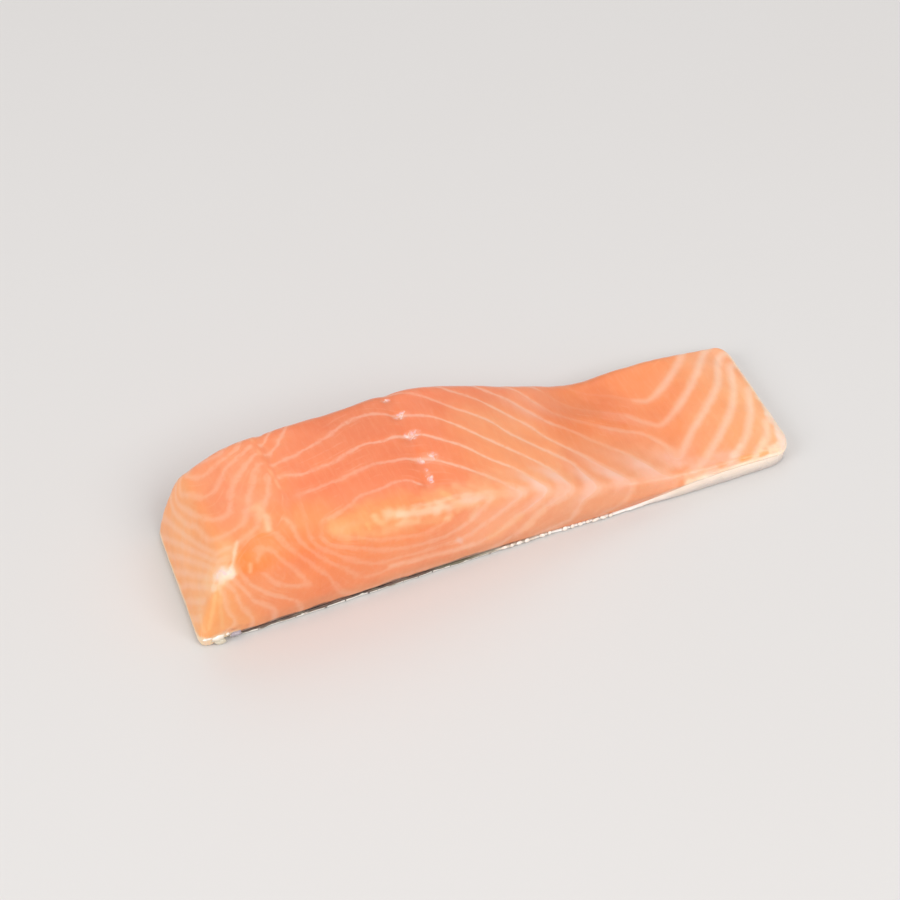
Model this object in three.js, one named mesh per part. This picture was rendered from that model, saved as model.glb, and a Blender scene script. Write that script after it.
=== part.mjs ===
// Raw Atlantic salmon portion, a slice cut across one side of the fish and laid on its skin.
// Millimetres, +Z up. +X runs from the back of the fish to its belly, and Y runs along the fish.
// The slice is two solids: the flesh, thick at the loin and thin at the belly flap, and the skin
// with its layer of fat, which thickens towards the belly. The origin is the middle of the underside.

import * as THREE from "three";

// Driving dimensions
const portionLength = 177.4;
const portionWidth = 44;
const backEndSkew = 0.085; // how far each end is out of square, per mm across the slice
const bellyEndSkew = 0.045;
const frontFlare = { from: 5, to: 60, reach: 1.4 }; // the front cut swings out towards the belly
const layerGap = 0.3; // clear space between flesh and skin

// Height of the flesh above the table at the front and back edges of its upper face
const frontHeights = [
  [-89, 24.6], [-78, 28.2], [-60, 29.4], [-45, 29.0], [-23, 26.8], [-10, 25.4], [6, 20.8],
  [20, 15.2], [30, 11.9], [41, 9.5], [54, 7.6], [72, 6.6], [89, 5.4],
];
const backHeights = [
  [-89, 19.0], [-80, 24.8], [-70, 27.5], [-56, 28.1], [-32, 28.2], [-20, 29.0], [-10, 27.8],
  [2, 23.9], [13, 19.4], [22, 16.0], [32, 12.9], [42, 11.2], [59, 10.0], [75, 7.4], [89, 4.4],
];

// Edges of the slice
const frontEdgeRadius = 3.8;
const backEdgeRadius = 4.2;
const footRadius = 0.7;
const faceBulge = 0.55; // how far the cut faces swell at half height
const backEndLean = 0.3; // the trimmed back end slopes in by this much per mm of height
const backEndLeanStart = -46;

// Rounded ends. The rounding is depth long and comes in sideAway mm from each side, it is squarer
// for a larger squareness, and the section shrinks towards a line at pivot of its height.
const backEnd = { depth: 4.2, sideAway: 4.5, squareness: 2.5, pivot: 0.16, rings: 6 };
const bellyEnd = { depth: 5.4, sideAway: 7.5, squareness: 2.3, pivot: 0.3, rings: 7 };

// Relief of the upper face
const crownHeight = 1.3;
const waist = { x: 37, y: 15, reachX: 15, reachY: 13, depth: 1.7 }; // dip between loin and belly
const pinBones = { x: -19.5, firstY: -14.3, spacing: 8.3, count: 5, radius: 2.3, depth: 1.0 };
const pinBoneGroove = { halfWidth: 5, depth: 0.45 };
const backSeam = { x: -58.5, halfWidth: 2.6, depth: 0.5 }; // tendon line of the back muscle
// The upper front edge is cut away along the back muscle
const frontBevel = { x: -63, reachX: 25, width: 14, depth: 3.4 };
const septumNotch = { x: -66.5, y: -10.5, reachX: 3.6, reachY: 5.0, depth: 1.5 };

// Skin
const skinThickness = [
  [-89, 1.5], [-30, 1.5], [-8, 1.3], [5, 1.0], [22, 0.9], [34, 1.0], [44, 1.7], [54, 2.6], [66, 3.3],
  [78, 3.1], [89, 2.3],
];
const skinOverhang = 0.2; // how far the skin stands out past the cut faces
const bellyOverhang = { from: 40, to: 70, reach: 0.6 }; // and how much further at the belly's front
const skinStart = -80.5; // the trim took the skin off the last few millimetres of the back end
const skinInset = 0.2; // how far the skin stops short of the belly edge
const skinEndRounding = 2.4;

// Mesh density
const counts = { foot: 2, face: 5, frontArc: 4, top: 16, backArc: 4, backFace: 4, bottom: 8 };
const stationStep = 2.5;
const fineStationStep = 1.45; // across the pin bones
const skinStations = 34;
const skinAcross = 6;

function curveThrough(points) {
  const xs = points.map((p) => p[0]);
  const values = points.map((p) => p[1]);
  const spline = new THREE.CubicInterpolant(xs, values, 1);
  const first = xs[0];
  const last = xs[xs.length - 1];
  return (x) => spline.evaluate(THREE.MathUtils.clamp(x, first, last))[0];
}

const frontHeight = curveThrough(frontHeights);
const backHeight = curveThrough(backHeights);
const skinTop = curveThrough(skinThickness);
const halfWidth = portionWidth / 2;
const halfLength = portionLength / 2;

// A smooth bump of height 1 at 0 that ends at 1
function bump(distance) {
  const d = Math.min(Math.abs(distance), 1);
  return (1 - d * d) ** 2;
}

function reliefAt(x, y) {
  const waistX = (x - waist.x) / waist.reachX;
  const waistY = (y - waist.y) / waist.reachY;
  let z = -waist.depth * bump(Math.hypot(waistX, waistY));
  z -= pinBoneGroove.depth * bump((x - pinBones.x) / pinBoneGroove.halfWidth);
  for (let i = 0; i < pinBones.count; i += 1) {
    const boneY = pinBones.firstY + i * pinBones.spacing;
    z -= pinBones.depth * bump(Math.hypot(x - pinBones.x, y - boneY) / pinBones.radius);
  }
  z -= backSeam.depth * bump((x - backSeam.x) / backSeam.halfWidth);
  const fromFront = THREE.MathUtils.clamp((y + halfWidth) / frontBevel.width, 0, 1);
  z -= frontBevel.depth * bump((x - frontBevel.x) / frontBevel.reachX) * (1 - fromFront) ** 1.5;
  const notchX = (x - septumNotch.x) / septumNotch.reachX;
  const notchY = (y - septumNotch.y) / septumNotch.reachY;
  return z - septumNotch.depth * bump(Math.hypot(notchX, notchY));
}

// Upper face, from the front edge (across = 0) to the back edge (across = 1)
function topHeight(x, across) {
  const straight = THREE.MathUtils.lerp(frontHeight(x), backHeight(x), across);
  const crown = crownHeight * Math.sin(Math.PI * across) * Math.min(1, straight / 25);
  return straight + crown + reliefAt(x, (across * 2 - 1) * halfWidth);
}

// Underside of the flesh: just above the skin, and down to the table where the skin is trimmed off
function undersideHeight(x) {
  const overSkin = skinTop(x) + layerGap;
  const fall = THREE.MathUtils.smoothstep(skinStart - 0.8 - x, 0, 3);
  return THREE.MathUtils.lerp(overSkin, 0.15, fall);
}

function arc(centreY, centreZ, radius, from, to, steps) {
  return Array.from({ length: steps + 1 }, (_, i) => {
    const angle = THREE.MathUtils.lerp(from, to, i / steps);
    return [centreY + radius * Math.cos(angle), centreZ + radius * Math.sin(angle)];
  });
}

// One cross-section of the flesh as [y, z] points, from the foot of the front face
// up, over the upper face, down the back face and along the underside
function fleshSection(x) {
  const bottom = undersideHeight(x);
  const frontTop = topHeight(x, 0);
  const backTop = topHeight(x, 1);
  const frontRadius = Math.min(frontEdgeRadius, (frontTop - bottom) * 0.42);
  const backRadius = Math.min(backEdgeRadius, (backTop - bottom) * 0.5);
  const foot = Math.min(footRadius, (frontTop - bottom) * 0.3, (backTop - bottom) * 0.3);
  const ring = [];

  ring.push(...arc(-halfWidth + foot, bottom + foot, foot, -Math.PI / 2, -Math.PI, counts.foot));
  const frontLow = bottom + foot;
  const frontHigh = frontTop - frontRadius;
  for (let i = 1; i < counts.face; i += 1) {
    const t = i / counts.face;
    const y = -halfWidth - faceBulge * Math.sin(Math.PI * t);
    ring.push([y, THREE.MathUtils.lerp(frontLow, frontHigh, t)]);
  }
  const topFrom = -halfWidth + frontRadius;
  ring.push(...arc(topFrom, frontHigh, frontRadius, Math.PI, Math.PI / 2, counts.frontArc));
  const topTo = halfWidth - backRadius;
  for (let i = 1; i < counts.top; i += 1) {
    const y = THREE.MathUtils.lerp(topFrom, topTo, i / counts.top);
    ring.push([y, topHeight(x, (y + halfWidth) / portionWidth)]);
  }
  // The arcs start where the upper face leaves them, so its relief runs on over the edge
  const lift = (y) => topHeight(x, (y + halfWidth) / portionWidth) - (y > 0 ? backTop : frontTop);
  for (const point of ring) {
    if (point[0] <= topFrom && point[1] > frontHigh) {
      point[1] += lift(topFrom) * ((point[1] - frontHigh) / frontRadius) ** 2;
    }
  }
  const backHigh = backTop - backRadius;
  for (const [y, z] of arc(halfWidth - backRadius, backHigh, backRadius, Math.PI / 2, 0, counts.backArc)) {
    ring.push([y, z + lift(topTo) * ((z - backHigh) / backRadius) ** 2]);
  }
  for (let i = 1; i < counts.backFace; i += 1) {
    const t = i / counts.backFace;
    const y = halfWidth + faceBulge * Math.sin(Math.PI * t);
    ring.push([y, THREE.MathUtils.lerp(backHigh, frontLow, t)]);
  }
  ring.push(...arc(halfWidth - foot, bottom + foot, foot, 0, -Math.PI / 2, counts.foot));
  for (let i = 1; i < counts.bottom; i += 1) {
    const y = THREE.MathUtils.lerp(halfWidth - foot, -halfWidth + foot, i / counts.bottom);
    ring.push([y, bottom]);
  }
  return ring;
}

// Leans the trimmed back end, skews the whole slice and swings out its front edge
function place(x, y, z) {
  const towardsEnd = THREE.MathUtils.smoothstep(backEndLeanStart - x, 0, halfLength + backEndLeanStart);
  const lean = backEndLean * towardsEnd;
  const skew = THREE.MathUtils.lerp(backEndSkew, bellyEndSkew, (x + halfLength) / portionLength);
  const flare = frontFlare.reach * THREE.MathUtils.smoothstep(x, frontFlare.from, frontFlare.to);
  const towardsFront = THREE.MathUtils.clamp(-y / halfWidth, 0, 1);
  return [x + lean * z + skew * y, y - flare * towardsFront ** 2, z];
}

// The rings of one rounded end: the section at x shrinks towards a point as it moves outwards
function endRings(section, x, direction, end) {
  const heights = section.map((point) => point[1]);
  const pivotZ = THREE.MathUtils.lerp(Math.min(...heights), Math.max(...heights), end.pivot);
  const rings = [];
  for (let i = 1; i <= end.rings; i += 1) {
    const t = Math.sin((Math.PI / 2) * (i / (end.rings + 1)));
    const shrink = (1 - t ** end.squareness) ** (1 / end.squareness);
    const narrow = 1 - (1 - shrink) * (end.sideAway / halfWidth);
    const ringX = x + direction * end.depth * t;
    rings.push(section.map(([y, z]) => [ringX, y * narrow, pivotZ + (z - pivotZ) * shrink]));
  }
  return { rings, tip: [x + direction * end.depth, 0, pivotZ] };
}

// Closes a stack of rings, each [x, y, z] points, into one solid with a point at each end
function closedLoft(rings, firstTip, lastTip) {
  const around = rings[0].length;
  const positions = [...rings.flat(), firstTip, lastTip].flatMap(([x, y, z]) => place(x, y, z));
  const first = rings.length * around;
  const index = [];
  for (let i = 0; i < rings.length - 1; i += 1) {
    for (let j = 0; j < around; j += 1) {
      const a = i * around + j;
      const b = i * around + ((j + 1) % around);
      index.push(a, a + around, b, b, a + around, b + around);
    }
  }
  for (let j = 0; j < around; j += 1) {
    const next = (j + 1) % around;
    const last = (rings.length - 1) * around;
    index.push(first, j, next, first + 1, last + next, last + j);
  }
  const geometry = new THREE.BufferGeometry();
  geometry.setAttribute("position", new THREE.Float32BufferAttribute(positions, 3));
  geometry.setIndex(index);
  geometry.computeVertexNormals();
  return geometry;
}

function stationsBetween(from, to) {
  const xs = [from];
  while (xs[xs.length - 1] < to) {
    const x = xs[xs.length - 1];
    const nearPinBones = Math.abs(x - pinBones.x) < 2 * pinBones.radius;
    const nearSeam = Math.abs(x - backSeam.x) < 2 * backSeam.halfWidth;
    xs.push(x + (nearPinBones || nearSeam ? fineStationStep : stationStep));
  }
  xs[xs.length - 1] = to;
  return xs;
}

function makeFlesh() {
  const from = -halfLength + backEnd.depth;
  const to = halfLength - bellyEnd.depth;
  const body = stationsBetween(from, to).map((x) => fleshSection(x).map(([y, z]) => [x, y, z]));
  const start = endRings(fleshSection(from), from, -1, backEnd);
  const finish = endRings(fleshSection(to), to, 1, bellyEnd);
  return closedLoft([...start.rings.reverse(), ...body, ...finish.rings], start.tip, finish.tip);
}

// The skin is a flat strip under the flesh, with a softly rounded outline at both ends
function makeSkin() {
  const to = halfLength - skinInset;
  const rings = [];
  for (let i = 0; i <= skinStations; i += 1) {
    const x = THREE.MathUtils.lerp(skinStart, to, i / skinStations);
    const fromEnd = Math.min(x - skinStart, to - x) / skinEndRounding;
    const inset = skinEndRounding * (1 - Math.sqrt(1 - (1 - Math.min(fromEnd, 1)) ** 2));
    const half = halfWidth + skinOverhang - inset;
    const beyond = THREE.MathUtils.smoothstep(x, bellyOverhang.from, bellyOverhang.to);
    const front = -half - bellyOverhang.reach * beyond;
    const top = skinTop(x);
    const edge = Math.min(0.3, top * 0.2);
    const section = [[front, edge], [front, top - edge]];
    for (let j = 0; j <= skinAcross; j += 1) {
      section.push([THREE.MathUtils.lerp(front + edge, half - edge, j / skinAcross), top]);
    }
    section.push([half, top - edge], [half, edge]);
    for (let j = skinAcross; j >= 0; j -= 1) {
      section.push([THREE.MathUtils.lerp(front + edge, half - edge, j / skinAcross), 0]);
    }
    rings.push(section.map(([y, z]) => [x, y, z]));
  }
  const middle = (x) => [x, 0, skinTop(x) / 2];
  return closedLoft(rings, middle(skinStart), middle(to));
}

const fleshMaterial = new THREE.MeshStandardMaterial({ color: 0xf79a70, roughness: 0.32 });
const skinMaterial = new THREE.MeshStandardMaterial({ color: 0x8d938c, roughness: 0.3 });
skinMaterial.metalness = 0.25;

function namedMesh(name, geometry, material) {
  const mesh = new THREE.Mesh(geometry, material);
  mesh.name = name;
  return mesh;
}

const salmonPortion = new THREE.Group();
salmonPortion.add(namedMesh("flesh", makeFlesh(), fleshMaterial));
salmonPortion.add(namedMesh("skin", makeSkin(), skinMaterial));

// The origin is moved to the middle of the underside
const bounds = new THREE.Box3().setFromObject(salmonPortion);
const centre = bounds.getCenter(new THREE.Vector3());
for (const mesh of salmonPortion.children) {
  mesh.geometry.translate(-centre.x, -centre.y, -bounds.min.z);
}

export default salmonPortion;
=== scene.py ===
import bpy
import bmesh
import math
import numpy as np
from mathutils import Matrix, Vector, noise


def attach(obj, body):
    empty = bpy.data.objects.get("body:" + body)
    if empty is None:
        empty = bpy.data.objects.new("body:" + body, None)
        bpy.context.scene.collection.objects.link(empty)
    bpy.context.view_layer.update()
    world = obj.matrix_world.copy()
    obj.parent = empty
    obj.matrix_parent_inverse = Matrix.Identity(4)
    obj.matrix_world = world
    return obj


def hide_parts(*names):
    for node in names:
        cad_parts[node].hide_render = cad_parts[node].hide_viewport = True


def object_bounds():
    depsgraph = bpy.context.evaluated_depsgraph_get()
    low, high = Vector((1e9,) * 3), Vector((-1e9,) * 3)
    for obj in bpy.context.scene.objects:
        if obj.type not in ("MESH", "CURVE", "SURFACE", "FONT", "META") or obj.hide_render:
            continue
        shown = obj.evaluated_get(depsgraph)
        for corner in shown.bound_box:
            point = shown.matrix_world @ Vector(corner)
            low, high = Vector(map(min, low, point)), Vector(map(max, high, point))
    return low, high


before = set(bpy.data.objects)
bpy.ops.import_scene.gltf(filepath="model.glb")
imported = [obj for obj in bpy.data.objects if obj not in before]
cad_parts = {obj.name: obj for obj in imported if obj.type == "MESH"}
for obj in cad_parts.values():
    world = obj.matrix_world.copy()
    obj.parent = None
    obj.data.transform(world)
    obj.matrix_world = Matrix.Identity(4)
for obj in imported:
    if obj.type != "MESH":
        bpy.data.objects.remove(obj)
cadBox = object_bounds()
print("salmon portion: frame loaded")

mm = 0.001


# Small helpers

def linearArray(colours):
    # screen colours (0 to 255) as the linear colours that Blender takes
    screen = np.asarray(colours) / 255
    return np.where(screen <= 0.04045, screen / 12.92, ((screen + 0.055) / 1.055) ** 2.4)


def paints(tones):
    # named screen colours as values for sockets
    return {name: (*linearArray(tone).tolist(), 1.0) for name, tone in tones.items()}


def paintTowards(tone, share, colour):
    # every point's tone moves towards the colour by its share
    return tone + share[:, None] * (np.array(colour, float) - tone)


def smoothStep(value, low, high):
    t = np.clip((value - low) / (high - low), 0, 1)
    return t * t * (3 - 2 * t)


def bell(distance):
    # 1 in the middle, 0 from a distance of 1 on
    d = np.minimum(np.abs(distance), 1)
    return (1 - d * d) ** 2


def noiseOver(points, size, seed):
    # soft noise between about -1 and 1 whose bumps are size mm wide
    offset = Vector((seed * 7.3, seed * 3.1, seed * 5.7))
    return np.array([noise.noise(Vector(point) / size + offset) for point in points])


def readRows(items, field, width, kind=np.float32):
    # one row of numbers for every vertex, edge or triangle
    rows = np.empty(len(items) * width, kind)
    items.foreach_get(field, rows)
    return rows.reshape(-1, width)


def linkObject(name, data):
    piece = bpy.data.objects.new(name, data)
    bpy.context.scene.collection.objects.link(piece)
    return piece


def bakeModifiers(piece):
    # the evaluated shape becomes the plain mesh, and the modifiers go
    bpy.context.view_layer.update()
    depsgraph = bpy.context.evaluated_depsgraph_get()
    mesh = bpy.data.meshes.new_from_object(piece.evaluated_get(depsgraph), depsgraph=depsgraph)
    mesh.name = piece.name
    piece.modifiers.clear()
    piece.data = mesh
    return mesh


def smoothCopy(node, name, levels):
    # the CAD node's triangles, merged, joined back into quads in pairs, and divided smoothly
    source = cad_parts[node].data
    faces = [tuple(face.vertices) for face in source.polygons]
    cage = bpy.data.meshes.new(name + "Cage")
    cage.from_pydata(readRows(source.vertices, "co", 3).tolist(), [], faces)
    work = bmesh.new()
    work.from_mesh(cage)
    bmesh.ops.remove_doubles(work, verts=work.verts, dist=2e-6)
    bmesh.ops.join_triangles(work, faces=work.faces, angle_face_threshold=0.8, angle_shape_threshold=1.3)
    work.to_mesh(cage)
    work.free()
    piece = linkObject(name, cage)
    divide = piece.modifiers.new("smooth", "SUBSURF")
    divide.levels = divide.render_levels = levels
    return piece, bakeModifiers(piece)


def pointsOf(mesh):
    # places in millimetres, and normals
    places, normals = (readRows(mesh.vertices, field, 3).astype(float) for field in ("co", "normal"))
    return places / mm, normals


def movePoints(mesh, points):
    # the places in mm, kept inside the box of the CAD model
    inside = np.clip(points * mm, cadBox[0], cadBox[1])
    mesh.vertices.foreach_set("co", inside.astype(np.float32).ravel())
    mesh.update()


def levelOutward(normals):
    # the level part of each normal, short where the surface faces up or down
    level = normals[:, :2]
    return level / np.maximum(np.linalg.norm(level, axis=1), 0.3)[:, None]


def heightAlong(points, chosen):
    # the height of the chosen points, read along the slice for every point
    x, y, z = points.T
    rows = np.flatnonzero(chosen)
    rows = rows[np.argsort(x[rows])]
    return np.interp(x, x[rows], z[rows])


def storeValues(mesh, name, values):
    layer = mesh.attributes.new(name, "FLOAT", "POINT")
    layer.data.foreach_set("value", np.asarray(values, np.float32))


def storeColours(mesh, name, colours):
    layer = mesh.attributes.new(name, "FLOAT_COLOR", "POINT")
    rgba = np.c_[colours, np.ones(len(colours))].astype(np.float32)
    layer.data.foreach_set("color", rgba.ravel())


def finishMesh(mesh, material):
    mesh.materials.clear()
    mesh.materials.append(material)
    mesh.polygons.foreach_set("use_smooth", [True] * len(mesh.polygons))


# Node helpers

def feed(tree, socket, value):
    if isinstance(value, bpy.types.NodeSocket):
        tree.links.new(value, socket)
    elif value is not None:
        socket.default_value = value


def feedAll(tree, node, values):
    for label, value in values.items():
        feed(tree, node.inputs[label], value)


def addNode(tree, kind, inputs=None, **settings):
    node = tree.nodes.new(kind)
    for label, value in settings.items():
        setattr(node, label, value)
    feedAll(tree, node, inputs or {})
    return node


def addStep(tree, kind, inputs=None, **settings):
    # a node of which only the first output is used
    return addNode(tree, kind, inputs, **settings).outputs[0]


def addMath(tree, operation, first, second=None):
    return addStep(tree, "ShaderNodeMath", {0: first, 1: second}, operation=operation)


def addProduct(tree, first, *others):
    for other in others:
        first = addMath(tree, "MULTIPLY", first, other)
    return first


def addSway(tree, value, reach):
    # a noise between 0 and 1 as a push to either side
    return addProduct(tree, addMath(tree, "SUBTRACT", value, 0.5), reach)


def addVector(tree, operation, first, second=None):
    return addStep(tree, "ShaderNodeVectorMath", {0: first, 1: second}, operation=operation)


def addMix(tree, factor, first, second, blend="MIX"):
    node = addNode(tree, "ShaderNodeMix", {"Factor": factor, 6: first, 7: second},
                   data_type="RGBA", blend_type=blend)
    return node.outputs[2]


def addLayers(tree, colour, layers):
    # tones laid over the colour one after the other, each with its mask and perhaps a strength
    for tone, mask, *strength in layers:
        colour = addMix(tree, addProduct(tree, mask, *strength), colour, tone)
    return colour


def addRange(tree, value, fromLow, fromHigh, toLow=0.0, toHigh=1.0):
    given = dict(enumerate((value, fromLow, fromHigh, toLow, toHigh)))
    return addStep(tree, "ShaderNodeMapRange", given, interpolation_type="SMOOTHSTEP")


def addNoise(tree, place, scale, detail=2.0, roughness=0.5, distortion=0.0):
    return addNode(tree, "ShaderNodeTexNoise", {
        "Vector": place, "Scale": scale, "Detail": detail, "Roughness": roughness,
        "Distortion": distortion}).outputs["Fac"]


def addObjectPlace(tree, stretch=(1, 1, 1), turn=(0, 0, 0)):
    here = addNode(tree, "ShaderNodeTexCoord").outputs["Object"]
    return addStep(tree, "ShaderNodeMapping", {"Vector": here, "Scale": stretch, "Rotation": turn})


def addInMm(tree, axis):
    # the object's own coordinate along one axis, in mm
    place = addNode(tree, "ShaderNodeSeparateXYZ", {0: addObjectPlace(tree)})
    return addMath(tree, "DIVIDE", place.outputs[axis], mm)


def addAttribute(tree, name, output="Fac"):
    return addNode(tree, "ShaderNodeAttribute", attribute_name=name).outputs[output]


def addRandom(tree, low, high, seed=0):
    # a random number for each element, or a random vector where the limits are vectors
    kind, first = ("FLOAT_VECTOR", 0) if isinstance(low, tuple) else ("FLOAT", 2)
    node = addNode(tree, "FunctionNodeRandomValue", {first: low, first + 1: high, "Seed": seed},
                   data_type=kind)
    return node.outputs[first // 2]


def newTree(kind, name, inputs, outputs):
    # a socket is given by its default number, or by its kind where it has none
    tree = bpy.data.node_groups.new(name, kind)
    for way, sockets in (("INPUT", inputs), ("OUTPUT", outputs)):
        for label, value in sockets.items():
            hasDefault = not isinstance(value, str)
            socketKind = type(value).__name__.capitalize() if hasDefault else value
            socket = tree.interface.new_socket(label, in_out=way, socket_type="NodeSocket" + socketKind)
            if hasDefault:
                socket.default_value = value
    given = tree.nodes.new("NodeGroupInput").outputs
    return tree, given, tree.nodes.new("NodeGroupOutput").inputs


def useGroup(tree, group, values):
    return addNode(tree, "ShaderNodeGroup", values, node_tree=group).outputs


def endTree(tree, instances, given, result, smooth=False):
    # the instances become plain geometry and get their material
    whole = addStep(tree, "GeometryNodeRealizeInstances", {"Geometry": instances})
    if smooth:
        whole = addStep(tree, "GeometryNodeSetShadeSmooth", {"Geometry": whole})
    coated = addStep(tree, "GeometryNodeSetMaterial", {"Geometry": whole, "Material": given["Material"]})
    feed(tree, result["Geometry"], coated)


def runGeometryTree(piece, tree, values):
    # sets the inputs by their identifiers, then keeps the result as a plain mesh
    modifier = piece.modifiers.new(tree.name, "NODES")
    modifier.node_group = tree
    sockets = {item.name: item for item in tree.interface.items_tree if item.in_out == "INPUT"}
    for label, value in values.items():
        modifier[sockets[label].identifier] = value
    return bakeModifiers(piece)


def newMaterial(name):
    material = bpy.data.materials.new(name)
    material.use_nodes = True
    tree = material.node_tree
    return material, tree, tree.nodes["Principled BSDF"]


# Shared effects

def makeMottleGroup():
    # soft cloudy value between Low and High, over the object's own coordinates
    tree, given, result = newTree(
        "ShaderNodeTree", "softMottle", {"Scale": 100.0, "Low": 0.0, "High": 1.0}, {"Value": "Float"})
    cloud = addNoise(tree, addObjectPlace(tree), given["Scale"], 3.0, 0.55, 0.4)
    feed(tree, result["Value"], addRange(tree, cloud, 0.3, 0.7, given["Low"], given["High"]))
    return tree


def makeWetBumpGroup():
    # moist surface: broad soft waves, fine wrinkles, and a height of its own on top
    tree, given, result = newTree("ShaderNodeTree", "wetBump", {
        "Wave Scale": 200.0, "Fine Scale": 1500.0, "Fine Share": 0.3, "Strength": 0.4, "Relief": 0.0,
    }, {"Normal": "Vector"})
    place = addObjectPlace(tree)
    waves = addNoise(tree, place, given["Wave Scale"], distortion=0.3)
    fine = addNoise(tree, place, given["Fine Scale"])
    height = addMath(tree, "ADD", waves, addProduct(tree, fine, given["Fine Share"]))
    bump = addStep(tree, "ShaderNodeBump", {
        "Distance": 0.15 * mm, "Strength": given["Strength"],
        "Height": addMath(tree, "ADD", height, given["Relief"])})
    feed(tree, result["Normal"], bump)
    return tree


def makeSeptaGroup():
    # fat lines where the phase is whole: Line is the thin core, Glow the paler flesh beside it
    tree, given, result = newTree("ShaderNodeTree", "septaLines", {
        "Phase": 0.0, "Pitch": 5.0, "Width": 0.7, "Softness": 0.5, "Wobble": 0.3, "Unevenness": 0.35,
        "Break Up": 0.3,
    }, {"Line": "Float", "Glow": "Float"})
    place = addObjectPlace(tree)
    sway = addSway(tree, addNoise(tree, place, 150.0, 3.0, 0.62), given["Wobble"])
    phase = addMath(tree, "ADD", given["Phase"], addMath(tree, "DIVIDE", sway, given["Pitch"]))
    fromLine = addMath(tree, "ABSOLUTE", addMath(tree, "SUBTRACT", phase, addMath(tree, "ROUND", phase)))
    fromLine = addProduct(tree, fromLine, given["Pitch"])

    # the line's own width, which swells and thins along it
    thinnest = addMath(tree, "SUBTRACT", 1.0, given["Unevenness"])
    thickest = addMath(tree, "ADD", 1.0, given["Unevenness"])
    uneven = addRange(tree, addNoise(tree, place, 260.0, 2.0, 0.6), 0.25, 0.75, thinnest, thickest)
    half = addProduct(tree, given["Width"], 0.5, uneven)
    outer = addProduct(tree, half, addMath(tree, "ADD", 1.0, given["Softness"]))
    inner = addProduct(tree, half, addMath(tree, "SUBTRACT", 1.0, given["Softness"]))
    line = addRange(tree, fromLine, outer, inner)

    gaps = addRange(tree, addNoise(tree, place, 330.0, 3.0, 0.7), 0.32, 0.5)
    lost = addProduct(tree, given["Break Up"], addMath(tree, "SUBTRACT", 1.0, gaps))
    feed(tree, result["Line"], addProduct(tree, line, addMath(tree, "SUBTRACT", 1.0, lost)))
    feed(tree, result["Glow"], addRange(tree, fromLine, addProduct(tree, half, 4.5), 0.0))
    return tree


softMottle = makeMottleGroup()
wetBump = makeWetBumpGroup()
septaLines = makeSeptaGroup()


def addMottle(tree, scale, low, high):
    return useGroup(tree, softMottle, {"Scale": scale, "Low": low, "High": high})["Value"]


def addWetNormal(tree, waveScale, fineScale, fineShare, strength, relief=0.0):
    return useGroup(tree, wetBump, {
        "Wave Scale": waveScale, "Fine Scale": fineScale, "Fine Share": fineShare,
        "Strength": strength, "Relief": relief})["Normal"]


def finishShader(tree, shader, look, colour):
    # a moist surface: mottled gloss, soft bumps and the look's own fixed values
    feedAll(tree, shader, {
        "Base Color": colour,
        "Roughness": addMottle(tree, *look["gloss"]),
        "Normal": addWetNormal(tree, *look["wetness"]),
        **look["shader"]})


# The flesh

# Where the fat sheets between the muscle blocks meet the surface, in millimetres. Each sheet has
# a number, and a smooth field between them gives every point of the surface its own.
septaOnTop = {
    9: [[(50, 9), (55, 6), (58, 7), (64, 11), (73, 19)]],
    8: [[(47, 4), (50.5, -0.5), (54, -4), (63, 1.5), (71.5, 9), (79.5, 18)]],
    7: [[(26, 9), (40.5, -0.5), (48.5, -4.5), (53, -11), (54, -16.5), (61.5, -9), (71, -1), (79, 7),
         (84.5, 17)]],
    6: [[(9, 19), (15, 15), (20, 9), (24, 4.5), (29, 1), (33, -3.5), (41.5, -11.5), (45, -16), (47, -20)],
        [(58, -21), (66, -15), (76, -5.5), (82, 3), (86, 13)]],
    5: [[(-1, 18), (6, 14), (11.5, 8.5), (16.5, 4), (20.5, -2), (28, -9), (37, -19.5)],
        [(69, -21), (75.5, -16), (82, -7), (86, 1.5)]],
    4: [[(-7, 14.5), (-1.5, 10), (5.5, 5.5), (10, -0.5), (17, -6), (23, -10.5), (25.5, -16.5),
         (27.5, -20)],
        [(77, -20.5), (82, -17), (84.5, -11.5)], [(-71, -16.5), (-69, -17.5), (-66.5, -19.5)]],
    3: [[(-57, 7), (-50, 8), (-40, 11), (-31.5, 14.5), (-26.5, 15), (-21, 12.5), (-17.5, 11), (-10, 8),
         (-4.5, 3.5), (1, -1.5), (7, -6), (13, -10.5), (17, -15), (20, -20)],
        [(-65, -14), (-64, -16), (-63, -19)]],
    2: [[(-57, 2), (-51, 0), (-40.5, 2), (-31, 4.5), (-26.5, 3.5), (-19, 4), (-13, 0.5), (-6.5, -4),
         (-0.5, -9.5), (5, -13.5), (10, -18.5), (12.5, -20)], [(-60, -12), (-59.5, -15.5), (-59, -19)]],
    1: [[(-57, -6.5), (-49.5, -6), (-41, -5), (-31.5, -3), (-26, -4), (-19.5, -5), (-14, -8.5),
         (-9.5, -11.5),
         (-5, -14.5), (1, -19), (5.5, -20.5)]],
    0: [[(-53, -17.5), (-49, -16.5), (-42.5, -14.5), (-38.5, -12.5), (-35, -12), (-29.5, -11),
         (-25.5, -11),
         (-23, -13.5), (-12, -17), (-4, -20.5)]],
}
# On top of the back muscle, left of its tendon line
septaOnBack = {
    6: [[(-77.5, 19.5), (-73.5, 14.5), (-69.5, 16), (-63, 17)]],
    5: [[(-81, 17.5), (-76.5, 7.5), (-72, 7.5), (-68.5, 12.5), (-61.5, 15.5)]],
    4: [[(-81.5, 8.5), (-78, -1), (-73, -3.5), (-68.5, 5.5), (-61, 11.5)]],
    3: [[(-81, 2), (-80, -7), (-75.5, -9.5), (-71, -9), (-69, -6), (-66, 0), (-63.5, 3), (-59.5, 10)]],
    2: [[(-68, -11), (-66.5, -8), (-62.5, -4), (-59, 4)]],
}
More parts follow.
